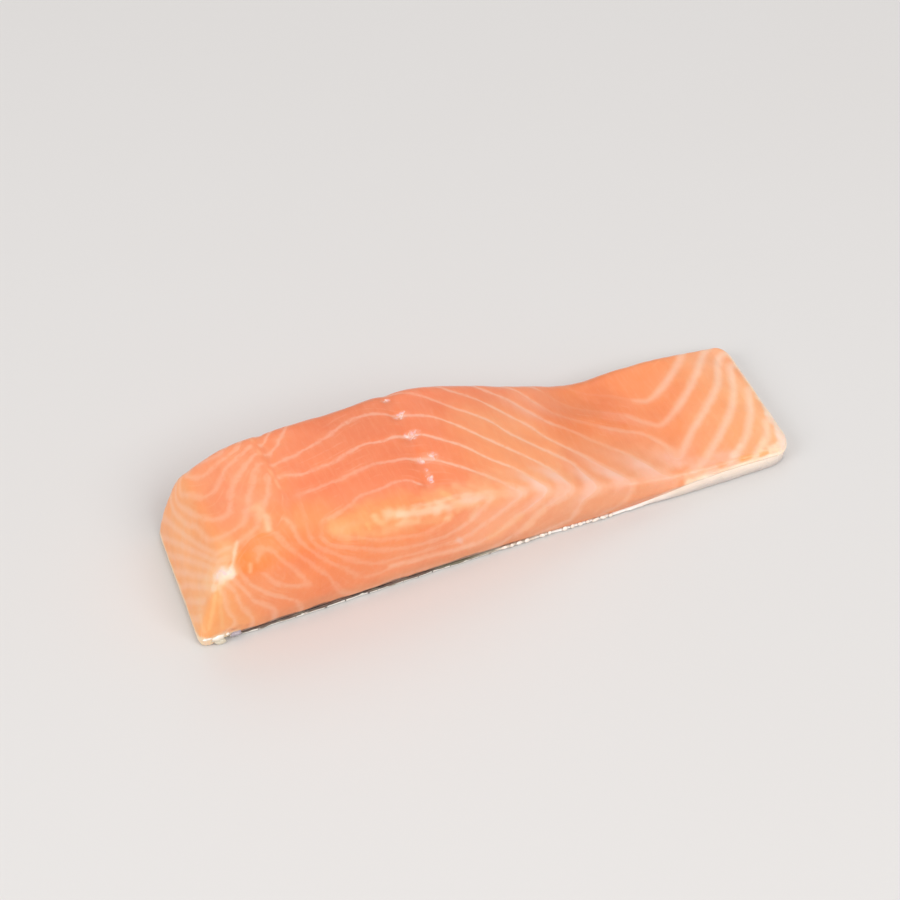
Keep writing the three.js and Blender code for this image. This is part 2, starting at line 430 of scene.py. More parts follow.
# On the front cut face, as (x, z)
septaOnFace = {
    4: [[(-67, 27), (-63.5, 22), (-59.5, 16), (-56.5, 11)],
        [(-72.5, 24.5), (-70, 20.5), (-66.5, 15.5), (-61, 12.5), (-56.5, 11)],
        [(27.5, 11), (22, 10), (18.5, 3.5)]],
    3: [[(-62.5, 26.5), (-57.5, 19.5), (-52.5, 12), (-50.5, 6)],
        [(-76.5, 24), (-74.5, 19), (-69.5, 13.5), (-65.5, 10), (-62, 8)],
        [(20, 14), (14, 13), (10, 12), (6.5, 9.5), (4, 6)]],
    2: [[(-58.5, 26), (-54.5, 21), (-47, 12.5), (-43.5, 7.5)], [(-78, 21), (-76, 18), (-73.5, 12.5),
                                                                (-68, 7.5)],
        [(12.5, 17), (9.5, 15), (5.5, 13), (1.5, 11.5), (-2.5, 9), (-6, 7.5), (-10, 6.5), (-16, 6.5),
         (-21, 7.5), (-27.5, 8), (-34.5, 9)]],
    1: [[(-56, 26), (-50, 19.5), (-44, 14.5), (-38.5, 11.5), (-31, 10.5), (-22, 10), (-16, 10),
         (-12.5, 11),
         (-10, 12.5), (-6, 14.5), (-1, 16.5), (4, 18), (5.5, 19)], [(-78.5, 18.5), (-77.5, 12.5),
                                                                    (-75, 7.5)]],
    0: [[(-53.5, 26), (-51, 23.5), (-45.5, 21), (-38, 17), (-26.5, 13.5), (-15, 14.5), (-9, 18),
         (-4, 22.5)],
        [(-81.5, 19.5), (-81, 12.5), (-78, 6)]],
    -1: [[(-50.5, 26.5), (-45.5, 24), (-38, 20), (-30, 18), (-24.5, 17), (-20.5, 18), (-18, 20),
          (-17.5, 23)]],
}
# On the trimmed back end, as (y, z)
septaOnEnd = {
    2: [[(18, 9.5), (-3, 19.5), (-13, 25)]],
    1: [[(17, 4), (-0.5, 16), (-11.5, 22.5)]],
    0: [[(12, 3.5), (-2.5, 14), (-15, 22.5)]],
    -1: [[(3, 5.5), (-9, 14.5), (-18.5, 22)]],
    -2: [[(-3.5, 6.5), (-14.5, 16), (-19, 20)]],
    -3: [[(-10, 6.5), (-19, 15.5)]],
    -4: [[(-15.5, 6), (-19.5, 10)]],
}

fleshLook = {
    "subdivisions": 2,
    "drop": 0.28,  # the underside comes down onto the skin, in mm
    "fieldSlack": 0.4,
    "seamX": -58.0,  # the tendon line between back muscle and loin
    # towards the front it turns off to the trimmed corner, as (x, y)
    "seamTurn": [(-95, -21.5), (-85, -20.2), (-80, -19.2), (-76, -17.5), (-71, -15), (-66, -14),
                 (-63, -12.5), (-60, -9), (-58, -4)],
    # the rounded edge between top and front cut
    "softEdge": [(-84, -17, 23), (-73, -20, 26), (-58, -19, 27), (-45, -19.5, 27.8), (-31, -19, 27.3),
                 (-14, -19.6, 25.4)],
    "septaGroove": (0.10, 1.3),  # depth and reach to either side, in mm
    "seamGroove": (0.07, 2.2),
    "ripples": [(0.16, 6.0, 1), (0.05, 1.9, 2)],  # height and width in mm, seed
    "pinBonePit": 0.4,
    # where pin bones were pulled: place, then reach along and across the slice, in mm
    "pinBones": [(-19.3, 18.5, 1.6, 1.2), (-17.6, 11.2, 2.8, 1.6), (-17.8, 3.4, 2.8, 1.9),
                 (-17.4, -5.7, 3.4, 1.9), (-19.4, -11.5, 1.1, 2.8)],
    "footFlare": (0.2, 0.15),  # how far the foot comes out over the skin's edge, at loin and belly, in mm
    "footTones": {
        # painted shade on the flesh just over the skin, with an olive tint
        "shadeOverSkin": (224, 148, 112),
        "pigment": (104, 78, 66),
        "bellyFat": (255, 236, 222),
        "scrapedCorner": (240, 226, 204),
        "redLine": (186, 104, 78),
    },
    "seamTone": (255, 205, 170),
    "warmth": (1.0, 0.995, 0.965),  # red, green and blue of the whole flesh
    "tones": {
        "deeper": (246, 228, 216),
        "fibre": (255, 196, 160),
        "glow": (255, 190, 150),
        "thinLine": (255, 200, 165),
        "fat": (255, 240, 222),
        "paleSheetAndSheen": (251, 207, 190),
        "boneMark": (250, 190, 164),
        "tornFat": (255, 224, 214),
        "tornLilac": (240, 200, 204),
    },
    "gloss": (240.0, 0.3, 0.44),  # scale of the mottle, and the roughness between which it wanders
    "wetness": (260.0, 2200.0, 0.22, 0.35),  # scales of waves and wrinkles, share of wrinkles, strength
    "shader": {
        "IOR": 1.38,
        "Coat Roughness": 0.1,
        "Coat IOR": 1.34,
        "Subsurface Weight": 0.2,
        "Subsurface Radius": (1.0, 0.42, 0.24),
        "Subsurface Scale": 1.4 * mm,
    },
}

# Tone of the flesh by region: middle and reach in mm, screen colour, strength
toneZones = {
    "loin": ((-28, 6, 29), (34, 22, 25), (250, 141, 97), 1.0),
    "loinRight": ((6, -1, 22), (14, 14, 10), (255, 167, 116), 1.7),
    "loinBack": ((-4, 18, 26), (18, 7, 12), (250, 141, 99), 1.5),
    "loinTop": ((-28, 8, 29), (13, 12, 7), (236, 126, 79), 2.8),
    "loinBackTop": ((-26, 16, 29), (9, 6, 6), (226, 124, 80), 2.0),
    "loinSeam": ((-45, 3, 30), (9, 10, 6), (250, 138, 88), 1.5),
    "backEdge": ((-61, 14, 28), (10, 7, 8), (254, 154, 104), 1.5),
    "notchRight": ((-56, -14, 28.5), (6, 4, 4), (254, 162, 108), 2.0),
    "notch": ((-62, 3, 29.8), (5, 6, 4), (254, 150, 92), 2.0),
    "ridge": ((26, 14, 15), (9, 8, 8), (252, 155, 113), 2.0),
    # painted shade in the dip between loin and belly
    "valley": ((35, 9, 12), (10, 11, 8), (242, 137, 82), 3.0),
    "waist": ((33, -9, 12), (9, 7, 6), (243, 158, 114), 1.5),
    "waistFront": ((44, -14, 10.5), (7, 5, 4), (240, 173, 138), 1.5),
    "waistBelly": ((49, -8, 9), (8, 8, 5), (246, 153, 104), 1.5),
    "bellyStart": ((53, 0, 9.4), (7, 7, 5), (240, 138, 84), 2.0),
    "backMuscle": ((-68, 5, 29), (8, 14, 8), (254, 160, 118), 2.0),
    "septumNotch": ((-68, -14, 28), (7, 6, 6), (253, 158, 104), 2.0),
    "orangePatch": ((-73, -19.8, 26), (5, 5, 4), (252, 141, 76), 3.5),
    "backEnd": ((-85, 0, 16), (6, 26, 16), (255, 169, 105), 3.0),
    "backEndLow": ((-87, -17, 11), (6, 10, 10), (254, 180, 114), 3.0),
    "faceLeft": ((-69, -22, 15), (9, 5, 10), (249, 155, 104), 2.0),
    "faceChevrons": ((-58, -21, 24), (8, 4, 8), (254, 138, 82), 2.0),
    "faceNest": ((-40, -21, 21), (14, 5, 7), (255, 152, 94), 2.0),
    "faceBelowNest": ((-30, -22, 10), (15, 5, 5), (246, 155, 110), 2.0),
    "faceBelowLeft": ((-45, -22, 14), (9, 5, 7), (246, 139, 86), 2.2),
    "innerChevron": ((-66, -21, 21), (4, 4, 4), (252, 147, 95), 2.0),
    # painted shade, darker low at the trimmed corner of the front cut
    "cornerShade": ((-79, -22, 6), (5, 3, 4), (250, 170, 108), 2.0),
    "faceMiddle": ((-2, -22, 13), (13, 5, 6), (254, 172, 132), 2.0),
    "faceRight": ((20, -22, 9), (14, 5, 5), (240, 165, 125), 2.0),
    # darker low on the front cut: painted shade where the foot curves under, with the skin's pigment
    "faceFootShadeAndPigment": ((-35, -22, 2), (42, 5, 2.6), (228, 150, 110), 2.5),
    "bellyLeft": ((60, 7, 9), (10, 12, 6), (251, 147, 91), 2.0),
    "belly": ((69, -4, 8), (9, 14, 5), (254, 164, 113), 2.0),
    "bellyRight": ((78, -8, 7), (7, 15, 5), (254, 173, 119), 2.0),
    "bellyTip": ((85, -12, 6), (5, 14, 5), (255, 188, 140), 2.5),
    "bellyFarTip": ((82, 14, 6), (6, 8, 5), (254, 176, 132), 2.0),
}

# How the fat lines show by region: middle and reach, then strength, width in mm, softness and wobble
septaZones = {
    "loin": ((-5, 3, 26), (45, 25, 14), (0.72, 0.85, 0.7, 0.9), 1.0),
    "loinLeft": ((-45, 2, 29), (12, 20, 7), (0.38, 1.05, 0.95, 3.6), 3.5),
    "loinRight": ((24, 0, 18), (18, 22, 9), (0.60, 1.15, 0.95, 1.0), 2.0),
    "loinFar": ((-14, 14, 28), (25, 6, 6), (0.36, 0.9, 0.8, 1.2), 2.2),
    "backMuscle": ((-68, 4, 29), (9, 17, 8), (0.28, 1.7, 1.0, 1.6), 2.5),
    "backEnd": ((-87, 0, 13), (8, 32, 16), (0.36, 1.7, 1.0, 0.6), 3.0),
    "chevrons": ((-68, -22, 15), (13, 4, 11), (0.36, 1.1, 1.0, 1.2), 2.5),
    "chevronRight": ((-61, -20, 24), (8, 4, 7), (0.20, 1.2, 1.0, 1.2), 3.5),
    "nestTip": ((-50, -20, 25), (7, 4, 6), (0.22, 1.3, 1.0, 1.0), 2.5),
    "nest": ((-32, -21, 22), (20, 4, 7), (0.28, 1.5, 1.0, 1.0), 3.0),
    "belowNest": ((-32, -22, 9), (22, 5, 7), (0.21, 1.3, 1.0, 1.8), 2.5),
    "faceTurn": ((-4, -22, 12), (8, 4, 6), (0.34, 1.3, 1.0, 1.2), 2.0),
    "faceRight": ((8, -22, 12), (20, 4, 8), (0.44, 2.3, 1.0, 1.4), 2.5),
    "facet": ((36, -21, 8), (14, 5, 6), (0.24, 1.4, 1.0, 0.7), 2.5),
    "valley": ((34, 11, 12), (12, 13, 8), (0.24, 0.9, 0.85, 1.0), 3.0),
    "waist": ((42, -6, 11), (10, 10, 5), (0.30, 1.1, 1.0, 0.7), 2.5),
    "ridgeTips": ((31, -13, 12), (9, 4, 4), (0.24, 1.6, 1.0, 0.8), 3.0),
    "bellyStart": ((54, -1, 9), (6, 8, 5), (0.36, 1.6, 1.0, 0.5), 3.0),
    "belly": ((72, 2, 7), (13, 26, 6), (0.72, 2.1, 1.0, 0.45), 3.0),
}

# Where the lines fade out: path in mm, reach, strength
lineFades = [
    ([(-74, -20.8, 24.5), (-70.5, -20.8, 23.5)], 2.0, 1.0),  # the chevrons are open at the back
    ([(-84.6, -19.5, 19), (-85.8, -20, 11), (-86, -20, 4)], 2.4, 1.0),
    ([(-56.5, -8, 29.6), (-55.5, -13, 29), (-54.5, -17.5, 28)], 2.2, 0.7),
    ([(-53, -18, 28), (-50, -19, 27.5)], 2.6, 0.5),
    ([(-57, -5, 30), (-54, -7.5, 30)], 2.4, 0.6),
    ([(-21, -13.5, 27), (-16, -15.5, 26.6), (-12, -17, 26), (-8, -18.8, 24.6), (-4, -20, 23)], 1.8, 0.85),
    ([(-45, -15, 29), (-35.5, -12, 29), (-28.5, -10.8, 28.5), (-24, -12, 28)], 1.6, 0.35),
    ([(-50, -6, 30), (-41, -5, 29.7), (-31.5, -3, 29.3), (-24, -4.5, 28.6)], 1.8, 0.3),
    ([(52, -23, 5), (66, -23, 4.6), (76, -22.6, 4.4), (86, -21.5, 4.2)], 1.6, 0.9),
    ([(50, 9, 10), (47, 11.5, 10), (41.5, 15, 10), (35.5, 19, 11)], 2.6, 0.75),
    ([(45.5, 4.5, 10.5), (41, 7, 11), (38, 8.5, 11), (32.5, 12.5, 12), (28.5, 16.5, 13.5)], 2.6, 0.7),
    ([(36.5, 2, 12), (32.5, 5, 13), (26.5, 8, 14.5), (24, 10.5, 15.5)], 2.2, 0.5),
    ([(26.5, 3.5, 14.5), (30, -0.5, 13), (33.5, -3.5, 12), (37, -7, 11)], 1.8, 0.3),
]

# Pale fat smears, some of them painted highlights: points, reach in mm, strength, screen colour
paleSmearsAndHighlights = {
    "nest": ([(-46, -19, 27), (-34, -20, 25.5), (-20, -20.8, 22.5)], 5.2, 0.4, (255, 180, 120)),
    "nestBelow": ([(-36, -21.4, 22.6), (-28, -21.5, 22), (-21, -21.5, 21.5)], 2.6, 0.4, (255, 190, 146)),
    # painted highlight along the rounded top edge of the front cut, here and in the two edge smears
    # further down
    "nestAbove": ([(-22, -17.5, 27), (-14, -19, 25.6), (-6, -19.4, 23.6)], 3.0, 0.34, (255, 190, 144)),
    "nestLeft": ([(-50, -19, 27.5), (-44, -20.5, 26), (-38, -21.3, 22.5)], 2.8, 0.4, (255, 190, 134)),
    "nestTop": ([(-42, -17, 28.4), (-35, -15.5, 28.6), (-29, -15.5, 28)], 3.0, 0.3, (255, 172, 112)),
    "nestStreak": ([(-34.5, -19.8, 26.8), (-28, -20.5, 25.3), (-21, -20.8, 24.1)],
                   2.1, 0.66, (255, 209, 178)),
    "nestStreakRight": ([(-21, -20.8, 24.1), (-15.5, -20.8, 23.5), (-9, -20.5, 22.8)],
                        2.0, 0.68, (255, 210, 182)),
    "nestStreakLow": ([(-15, -21, 22.4), (-9, -21.1, 21.2)], 1.8, 0.5, (255, 196, 148)),
    "nestCore": ([(-32, -20.2, 26), (-25.5, -20.6, 24.8), (-18.5, -20.8, 23.9)],
                 1.2, 0.45, (255, 224, 202)),
    "nestPink": ([(-13, -20.5, 24), (-9.5, -20.6, 23.2), (-6, -20.6, 22.4)], 1.6, 0.62, (255, 208, 190)),
    "nestBlob": ([(-38.4, -19.4, 27.4), (-37.4, -20.4, 26)], 1.3, 0.65, (255, 204, 160)),
    "nestSpecks": ([(-41, -20.3, 26.6), (-40.6, -21, 25.4)], 0.7, 0.4, (255, 206, 150)),
    "nestHook": ([(-18.2, -18, 26.5), (-16.8, -19, 25.9)], 0.8, 0.35, (255, 190, 130)),
    "nestRight": ([(-6, -20.6, 22.4), (-1, -20.4, 21.4), (4, -20.3, 19.6)], 1.7, 0.55, (255, 202, 172)),
    "nestTipGlow": ([(-8, -21, 20.8), (-2, -21, 19.4), (2, -20.9, 18.4)], 2.2, 0.35, (255, 186, 134)),
    # painted highlight along the rounded top edge, as above, here and in the next smear
    "edgePatch": ([(-14.2, -16.6, 26.5), (-12.6, -18.2, 25.9), (-10.8, -19.4, 25)],
                  1.3, 0.4, (252, 184, 148)),
    "edgeHighlight": ([(-7, -17, 23.5), (-1, -17, 22.5), (8, -17.5, 19), (18, -16.5, 15.5)],
                 4.8, 0.55, (253, 186, 144)),
    "nestPatch": ([(-31.5, -21.2, 23.8), (-27, -21.3, 22.6)], 1.5, 0.68, (255, 206, 166)),
    "nestPatchRight": ([(-18.8, -21.3, 20.2), (-17.4, -21.3, 20.4)], 1.1, 0.5, (255, 204, 160)),
    "nestPatchLow": ([(-9.4, -21.2, 20.4), (-10.4, -21.4, 18.6), (-11, -21.5, 17.6)],
                     1.3, 0.55, (255, 202, 168)),
    "nestFlecks": ([(-18.6, -21.3, 20), (-17.8, -21.4, 19.4)], 0.8, 0.45, (255, 208, 170)),
    "lilacFleck": ([(-15.4, -21.7, 10.6), (-14.8, -21.7, 9.8)], 1.2, 0.8, (246, 196, 184)),
    "faceBand": ([(3, -21.7, 12), (-2, -21.7, 9.2), (-5.5, -21.6, 7.4)], 1.7, 0.42, (254, 192, 140)),
    "faceBandRight": ([(10.5, -21.6, 11.8), (7, -21.7, 9), (4.2, -21.7, 6)], 1.5, 0.4, (254, 194, 146)),
    "loinPatch": ([(-42, -5.2, 29.6), (-38.5, -4.2, 29.6)], 1.8, 0.3, (255, 182, 152)),
    "fatSpotGlow": ([(-85, -16, 19.5), (-81.5, -18, 23.5), (-78.5, -16, 25.8)],
                    4.6, 0.55, (255, 208, 168)),
    "fatSpotUp": ([(-80, -12, 25.5), (-77, -12, 26.8)], 4.0, 0.3, (255, 190, 146)),
    "fatSpot": ([(-81.8, -18.4, 23), (-80.4, -19.4, 24.2), (-79.2, -20, 24.7)],
                2.4, 0.9, (255, 232, 220)),
    "fatSpotCore": ([(-80, -19.9, 24), (-79.2, -20.3, 24.2)], 1.3, 0.6, (255, 248, 240)),
    "fatSpotWing": ([(-79.8, -20.3, 23.6), (-82, -20.2, 22), (-84, -18.9, 19.6)],
                    1.4, 0.6, (255, 230, 206)),
    "fatSpotLine": ([(-78.9, -19.8, 25), (-77.6, -18.4, 26), (-75.8, -15.4, 26.9), (-74.4, -13.3, 27.4)],
                    0.8, 0.6, (255, 230, 212)),
    "cornerArc": ([(-83.8, -20.4, 18), (-85, -21, 13.5), (-86.5, -21.2, 7)], 0.85, 0.42, (255, 208, 152)),
    "cornerArcRight": ([(-82.4, -21.2, 19), (-82.9, -21.7, 14), (-82.9, -21.5, 6.5)],
                       0.8, 0.38, (255, 206, 154)),
    "cornerArcEnd": ([(-86.5, -13.6, 11), (-87.5, -18.2, 9), (-87.7, -20.4, 6)],
                     0.9, 0.35, (255, 208, 152)),
    "orangeNotch": ([(-76, -20, 25.8), (-74.6, -18.8, 26.8)], 2.3, 0.8, (253, 144, 74)),
    "orangeNotchRight": ([(-73, -20.6, 25), (-70, -20.6, 25.4)], 2.4, 0.5, (252, 142, 74)),
    "fatTick": ([(-73.6, -20.4, 25.4), (-73.9, -21, 23.6)], 0.75, 0.5, (255, 206, 176)),
    "seamPatch": ([(-66, -6, 29.6), (-65.4, -10, 29.3), (-66, -13, 28.7)], 2.4, 0.6, (255, 198, 156)),
    "seamPatchTip": ([(-64.6, -9.5, 29.3), (-65.8, -13.4, 28.6)], 1.2, 0.65, (255, 216, 184)),
    "orangeSpots": ([(-68.5, -14, 28.2), (-65.5, -15.6, 28)], 1.3, 0.5, (252, 146, 76)),
    "frontEdge": ([(5, -20, 20), (12, -20.5, 17.5), (20, -20.5, 13), (30, -20.5, 11), (40, -20, 9.5),
                   (52, -18, 8)],
                  2.0, 0.4, (252, 196, 174)),
    "lowStreak": ([(-34.7, -21.7, 9), (-27.5, -21.7, 8), (-21, -21.7, 7.5), (-15.8, -21.6, 6.8),
                   (-11, -21.6, 6.6)],
                  1.3, 0.7, (254, 190, 160)),
    "bellyRim": ([(54, -23, 5), (63, -23, 5), (72, -22.8, 4.8), (80, -22, 5), (86, -20.8, 5)],
                 2.1, 0.85, (255, 230, 208)),
    # the belly end's rim, here and in the next smear: a painted highlight, the wet rim catching the light
    "bellyEndRim": ([(85, -21.5, 5.2), (86.6, -16, 5.4), (87.8, -9, 5)], 2.3, 0.95, (255, 230, 218)),
    "bellyEndRimFar": ([(88, -9, 4.8), (88.8, 0, 4.6), (89.2, 10, 4.4), (89.2, 18, 4.4)],
                       1.9, 0.9, (255, 230, 214)),
    "bellyFrontGlow": ([(57, -20, 7.2), (68, -20.6, 6.6)], 3.6, 0.7, (252, 190, 168)),
    "bellyStripeEnd": ([(69, -20.6, 6.8), (73.2, -17.4, 6.8)], 1.2, 0.7, (255, 216, 196)),
    "bellyStripeEndRight": ([(77.6, -21, 6.2), (80.6, -18, 6.2)], 1.3, 0.75, (255, 222, 190)),
    "bellyWedge": ([(71.2, -22.2, 6.1), (73.6, -22, 6.2)], 1.0, 0.9, (253, 168, 100)),
    "bellyWedgeRight": ([(77, -22.3, 5.7), (79, -22.3, 5.5)], 0.9, 0.8, (253, 176, 112)),
}


# Pale sheets over the muscle, which also carry a painted sheen, the soft reflection of the lights on the
# wet front facet and the loin's slope: middle, reach in mm, strength
sheetAndSheenZones = [
    ((11, -18, 17.5), (12, 4.5, 4.5), 1.2),
    ((28, -17.5, 12), (12, 6.5, 4.5), 1.0),
    ((45, -17.5, 9.5), (11, 6, 4), 0.85),
    ((44, 1, 10), (8, 6, 4), 0.25),
    ((22, 11, 19), (9, 7, 5), 0.35),
]


def spacedPoints(line, gap=2.5):
    # a smooth curve through the drawn points
    drawn = np.array([line[0], *line, line[-1]], float)
    points = []
    for before, start, end, after in zip(drawn, drawn[1:], drawn[2:], drawn[3:]):
        steps = max(1, int(np.linalg.norm(end - start) / gap))
        for t in np.arange(steps) / steps:
            pull = 0.35 * ((end - before) * (t - 2 * t * t + t ** 3) + (after - start) * (t ** 3 - t * t))
            blend = 3 * t * t - 2 * t ** 3
            points.append(start * (1 - blend) + end * blend + pull)
    return points + [drawn[-1]]


def septaPoints(points, normals, side, septa):
    # the drawn lines as points on one side of the slice, with their sheets' numbers
    onSide, across, up = {
        "top": (normals[:, 2] > 0.5, 0, 1),
        "face": (normals[:, 1] < -0.15, 0, 2),
        "end": (normals[:, 0] < -0.3, 1, 2),
    }[side]
    rows = np.flatnonzero(onSide)
    places, numbers = [], []
    for number, lines in septa.items():
        for line in lines:
            for u, v in spacedPoints(line):
                gaps = (points[rows, across] - u) ** 2 + (points[rows, up] - v) ** 2
                place = points[rows[np.argmin(gaps)]].copy()
                place[[across, up]] = u, v
                places.append(place)
                numbers.append(number)
    return np.c_[places, numbers]


def distances(first, second):
    return np.linalg.norm(first[:, None] - second[None], axis=2)


def smoothField(drawn, targets, partSize=8000):
    # the smoothest field through the drawn lines, in 3-D; the slack takes up small slips in them
    places, numbers = drawn[:, :3], drawn[:, 3]
    count = len(places)
    slope = np.c_[np.ones(count), places]
    slack = fleshLook["fieldSlack"] * np.eye(count)
    system = np.block([[distances(places, places) - slack, slope], [slope.T, np.zeros((4, 4))]])
    weights = np.linalg.lstsq(system, np.r_[numbers, np.zeros(4)], rcond=None)[0]
    values = np.empty(len(targets))
    for start in range(0, len(targets), partSize):
        part = targets[start:start + partSize]
        sloped = np.c_[np.ones(len(part)), part] @ weights[count:]
        values[start:start + partSize] = distances(part, places) @ weights[:count] + sloped
    return values


def triangleRows(mesh):
    mesh.calc_loop_triangles()
    return readRows(mesh.loop_triangles, "vertices", 3, np.int32)


def slopeOnSurface(values, points, rows):
    # how fast the values change along the surface, per mm
    a, b, c = (points[rows[:, k]] for k in range(3))
    across = np.cross(b - a, c - a)
    doubleArea = np.maximum(np.linalg.norm(across, axis=1), 1e-9)
    unit = across / doubleArea[:, None]
    pull = (values[rows[:, 0], None] * np.cross(unit, c - b)
            + values[rows[:, 1], None] * np.cross(unit, a - c)
            + values[rows[:, 2], None] * np.cross(unit, b - a))
    total = np.zeros_like(points)
    weight = np.zeros(len(points))
    for k in range(3):
        np.add.at(total, rows[:, k], pull)
        np.add.at(weight, rows[:, k], doubleArea)
    return np.linalg.norm(total, axis=1) / weight


def evenOut(mesh, values, rounds):
    # each point moves to the mean of its neighbours
    edges = readRows(mesh.edges, "vertices", 2, np.int32)
    first, second = edges.T
    size = len(values)
    count = np.bincount(edges.ravel(), minlength=size)
    for _ in range(rounds):
        total = np.bincount(first, values[second], size) + np.bincount(second, values[first], size)
        values = 0.5 * values + 0.5 * total / count
    return values


def pastSeam(points):
    # about how far each point lies on the loin's side of the tendon line, in mm
    x, y, z = points.T
    return np.maximum(x - fleshLook["seamX"], np.interp(x, *zip(*fleshLook["seamTurn"])) - y)


def septaField(mesh, points, normals):
    # the phase, which is whole on every fat line, and the pitch, the lines' distance in mm
    top, back, face, end = (septaPoints(points, normals, side, septa) for side, septa in (
        ("top", septaOnTop), ("top", septaOnBack), ("face", septaOnFace), ("end", septaOnEnd)))
    # the far cut face gets the near face's lines again, counted on along the fish
    far = face * [1, -1, 1, 1]
    behindSeam = far[:, 0] < fleshLook["seamX"]
    far[:, 3] += np.where(behindSeam, 3.0, 5.5 - 0.6 * np.clip((far[:, 0] + 18) / 23, 0, 3))
    loinLines = np.r_[top, face, far[~behindSeam & (far[:, 0] < 24)]]
    fields = [smoothField(drawn, points) for drawn in (loinLines, np.r_[back, end, far[behindSeam]])]
    rows = triangleRows(mesh)
    slopes = [slopeOnSurface(field, points, rows) for field in fields]
    loinShare = 1 / (1 + np.exp(-pastSeam(points) / 0.4))
    phase, slope = (loin * loinShare + behind * (1 - loinShare) for loin, behind in (fields, slopes))
    pitch = np.clip(1 / np.maximum(slope, 1e-3), 2.0, 13.0)
    return evenOut(mesh, phase, 3), evenOut(mesh, pitch, 8)


def zoneWeight(points, middle, reach):
    gaps = (points - middle) / reach
    return np.exp(-(gaps ** 2).sum(axis=1))


def blendZones(points, zones):
    # each point takes the mean of the zones round it
    columns = len(next(iter(zones.values()))[2])
    total = np.zeros((len(points), columns))
    weight = np.zeros(len(points))
    for middle, reach, values, strength in zones.values():
        share = strength * (zoneWeight(points, middle, reach) + 1e-5)
        total += share[:, None] * np.array(values, float)
        weight += share
    return total / weight[:, None]


def blendVeils(points):
    # where pale sheets, with their painted sheen, lie over the muscle
    sheetAndSheen = np.zeros(len(points))
    for middle, reach, strength in sheetAndSheenZones:
        sheetAndSheen = np.maximum(sheetAndSheen, strength * zoneWeight(points, middle, reach))
    return np.clip(sheetAndSheen * (0.85 + 0.4 * noiseOver(points, 3.0, 8)), 0, 1)


def awayFromPath(points, path):
    # distance to a path, in mm
    nearest = np.full(len(points), 1e9)
    for start, end in zip(np.array(path, float), np.array(path[1:], float)):
        along = end - start
        t = np.clip((points - start) @ along / (along @ along), 0, 1)
        nearest = np.minimum(nearest, np.linalg.norm(points - start - t[:, None] * along, axis=1))
    return nearest


def fadeLines(points, phase, show, onTop, onFace, fromSeam):
    # less of the fat lines in the innermost rings, along the fades and beside the tendon line
    x, y, z = points.T
    innermost = smoothStep(-phase, 0.3, 0.7) * (x < 0) * (x > fleshLook["seamX"])
    show = show * (1 - (0.95 - 0.75 * onFace) * innermost)
    for path, reach, strength in lineFades:
        show *= 1 - strength * smoothStep(awayFromPath(points, path) / reach, 1.2, 0.4)
    return show * (smoothStep(fromSeam, 0.3, 1.2) * onTop + (1 - onTop))


def pinBoneMarks(points, onTop):
    # torn fat round each pulled pin bone, and the pit that it left
    x, y, z = points.T
    scar, pit = np.zeros((2, len(points)))
    for boneX, boneY, reachX, reachY in fleshLook["pinBones"]:
        away = np.hypot((x - boneX) / reachX, (y - boneY) / reachY)
        scar = np.maximum(scar, bell(away * 0.8) * onTop)
        pit = np.maximum(pit, bell(away) * onTop)
    fatSpot = bell(awayFromPath(points, paleSmearsAndHighlights["fatSpot"][0]) / 2.8)
    return np.maximum(scar, 0.45 * fatSpot), pit


def addSmears(points, tone):
    # paints the fat smears and the painted highlights over the tone, with ragged edges
    ragged = noiseOver(points, 2.4, 11) + 0.35 * noiseOver(points, 1.1, 12)
    smeared = np.zeros(len(points))
    for path, reach, strength, colour in paleSmearsAndHighlights.values():
        away = awayFromPath(points, path) / reach
        mask = strength * smoothStep(away + 0.45 * ragged, 1.25, 0.15)
        tone = paintTowards(tone, mask, colour)
        smeared = np.maximum(smeared, mask)
    return tone, smeared


def paintFoot(points, tone, aboveFoot, onFace):
    # what shows along the slice's foot, with ragged borders
    x, y, z = points.T
    ragged = noiseOver(points, 4, 9)
    loin = smoothStep(x, 25, -5) * (x > -79)
    darkLoin = smoothStep(x, 24, -10) * (x > -79)
    shares = {
        # painted shade on the flesh just over the skin along the loin
        "shadeOverSkin": 0.55 * smoothStep(aboveFoot + 0.5 * ragged, 1.6, 0.3) * loin,
        "pigment": 0.85 * smoothStep(aboveFoot + 0.35 * ragged, 0.6, 0.35) * darkLoin,
        "bellyFat": smoothStep(aboveFoot + 0.5 * ragged, 1.9, 1.0) * smoothStep(x, 40, 58),
        "scrapedCorner": 0.85 * smoothStep(z + 0.7 * ragged, 3.9, 3.0) * smoothStep(x, -77, -80),
        "redLine": 0.6 * bell((z - 4.1 + 0.5 * ragged) / 0.5) * onFace * bell((x + 79) / 6),
    }
    for name, share in shares.items():
        tone = paintTowards(tone, share, fleshLook["footTones"][name])
    return tone


def fleshRelief(points, phase, pitch, show, pit, fromSeam, onTop):
    # how far the surface stands out, in mm: ripples, less the grooves and the pin bones' pits
    grooveDepth, grooveReach = fleshLook["septaGroove"]
    seamDepth, seamReach = fleshLook["seamGroove"]
    fromLine = np.abs(phase - np.round(phase)) * pitch
    lift = -grooveDepth * bell(fromLine / grooveReach) * show
    lift += sum(height * noiseOver(points, width, seed) for height, width, seed in fleshLook["ripples"])
    lift -= fleshLook["pinBonePit"] * pit * (0.7 + 0.5 * noiseOver(points, 0.9, 3))
    return lift - seamDepth * bell(fromSeam / seamReach) * onTop


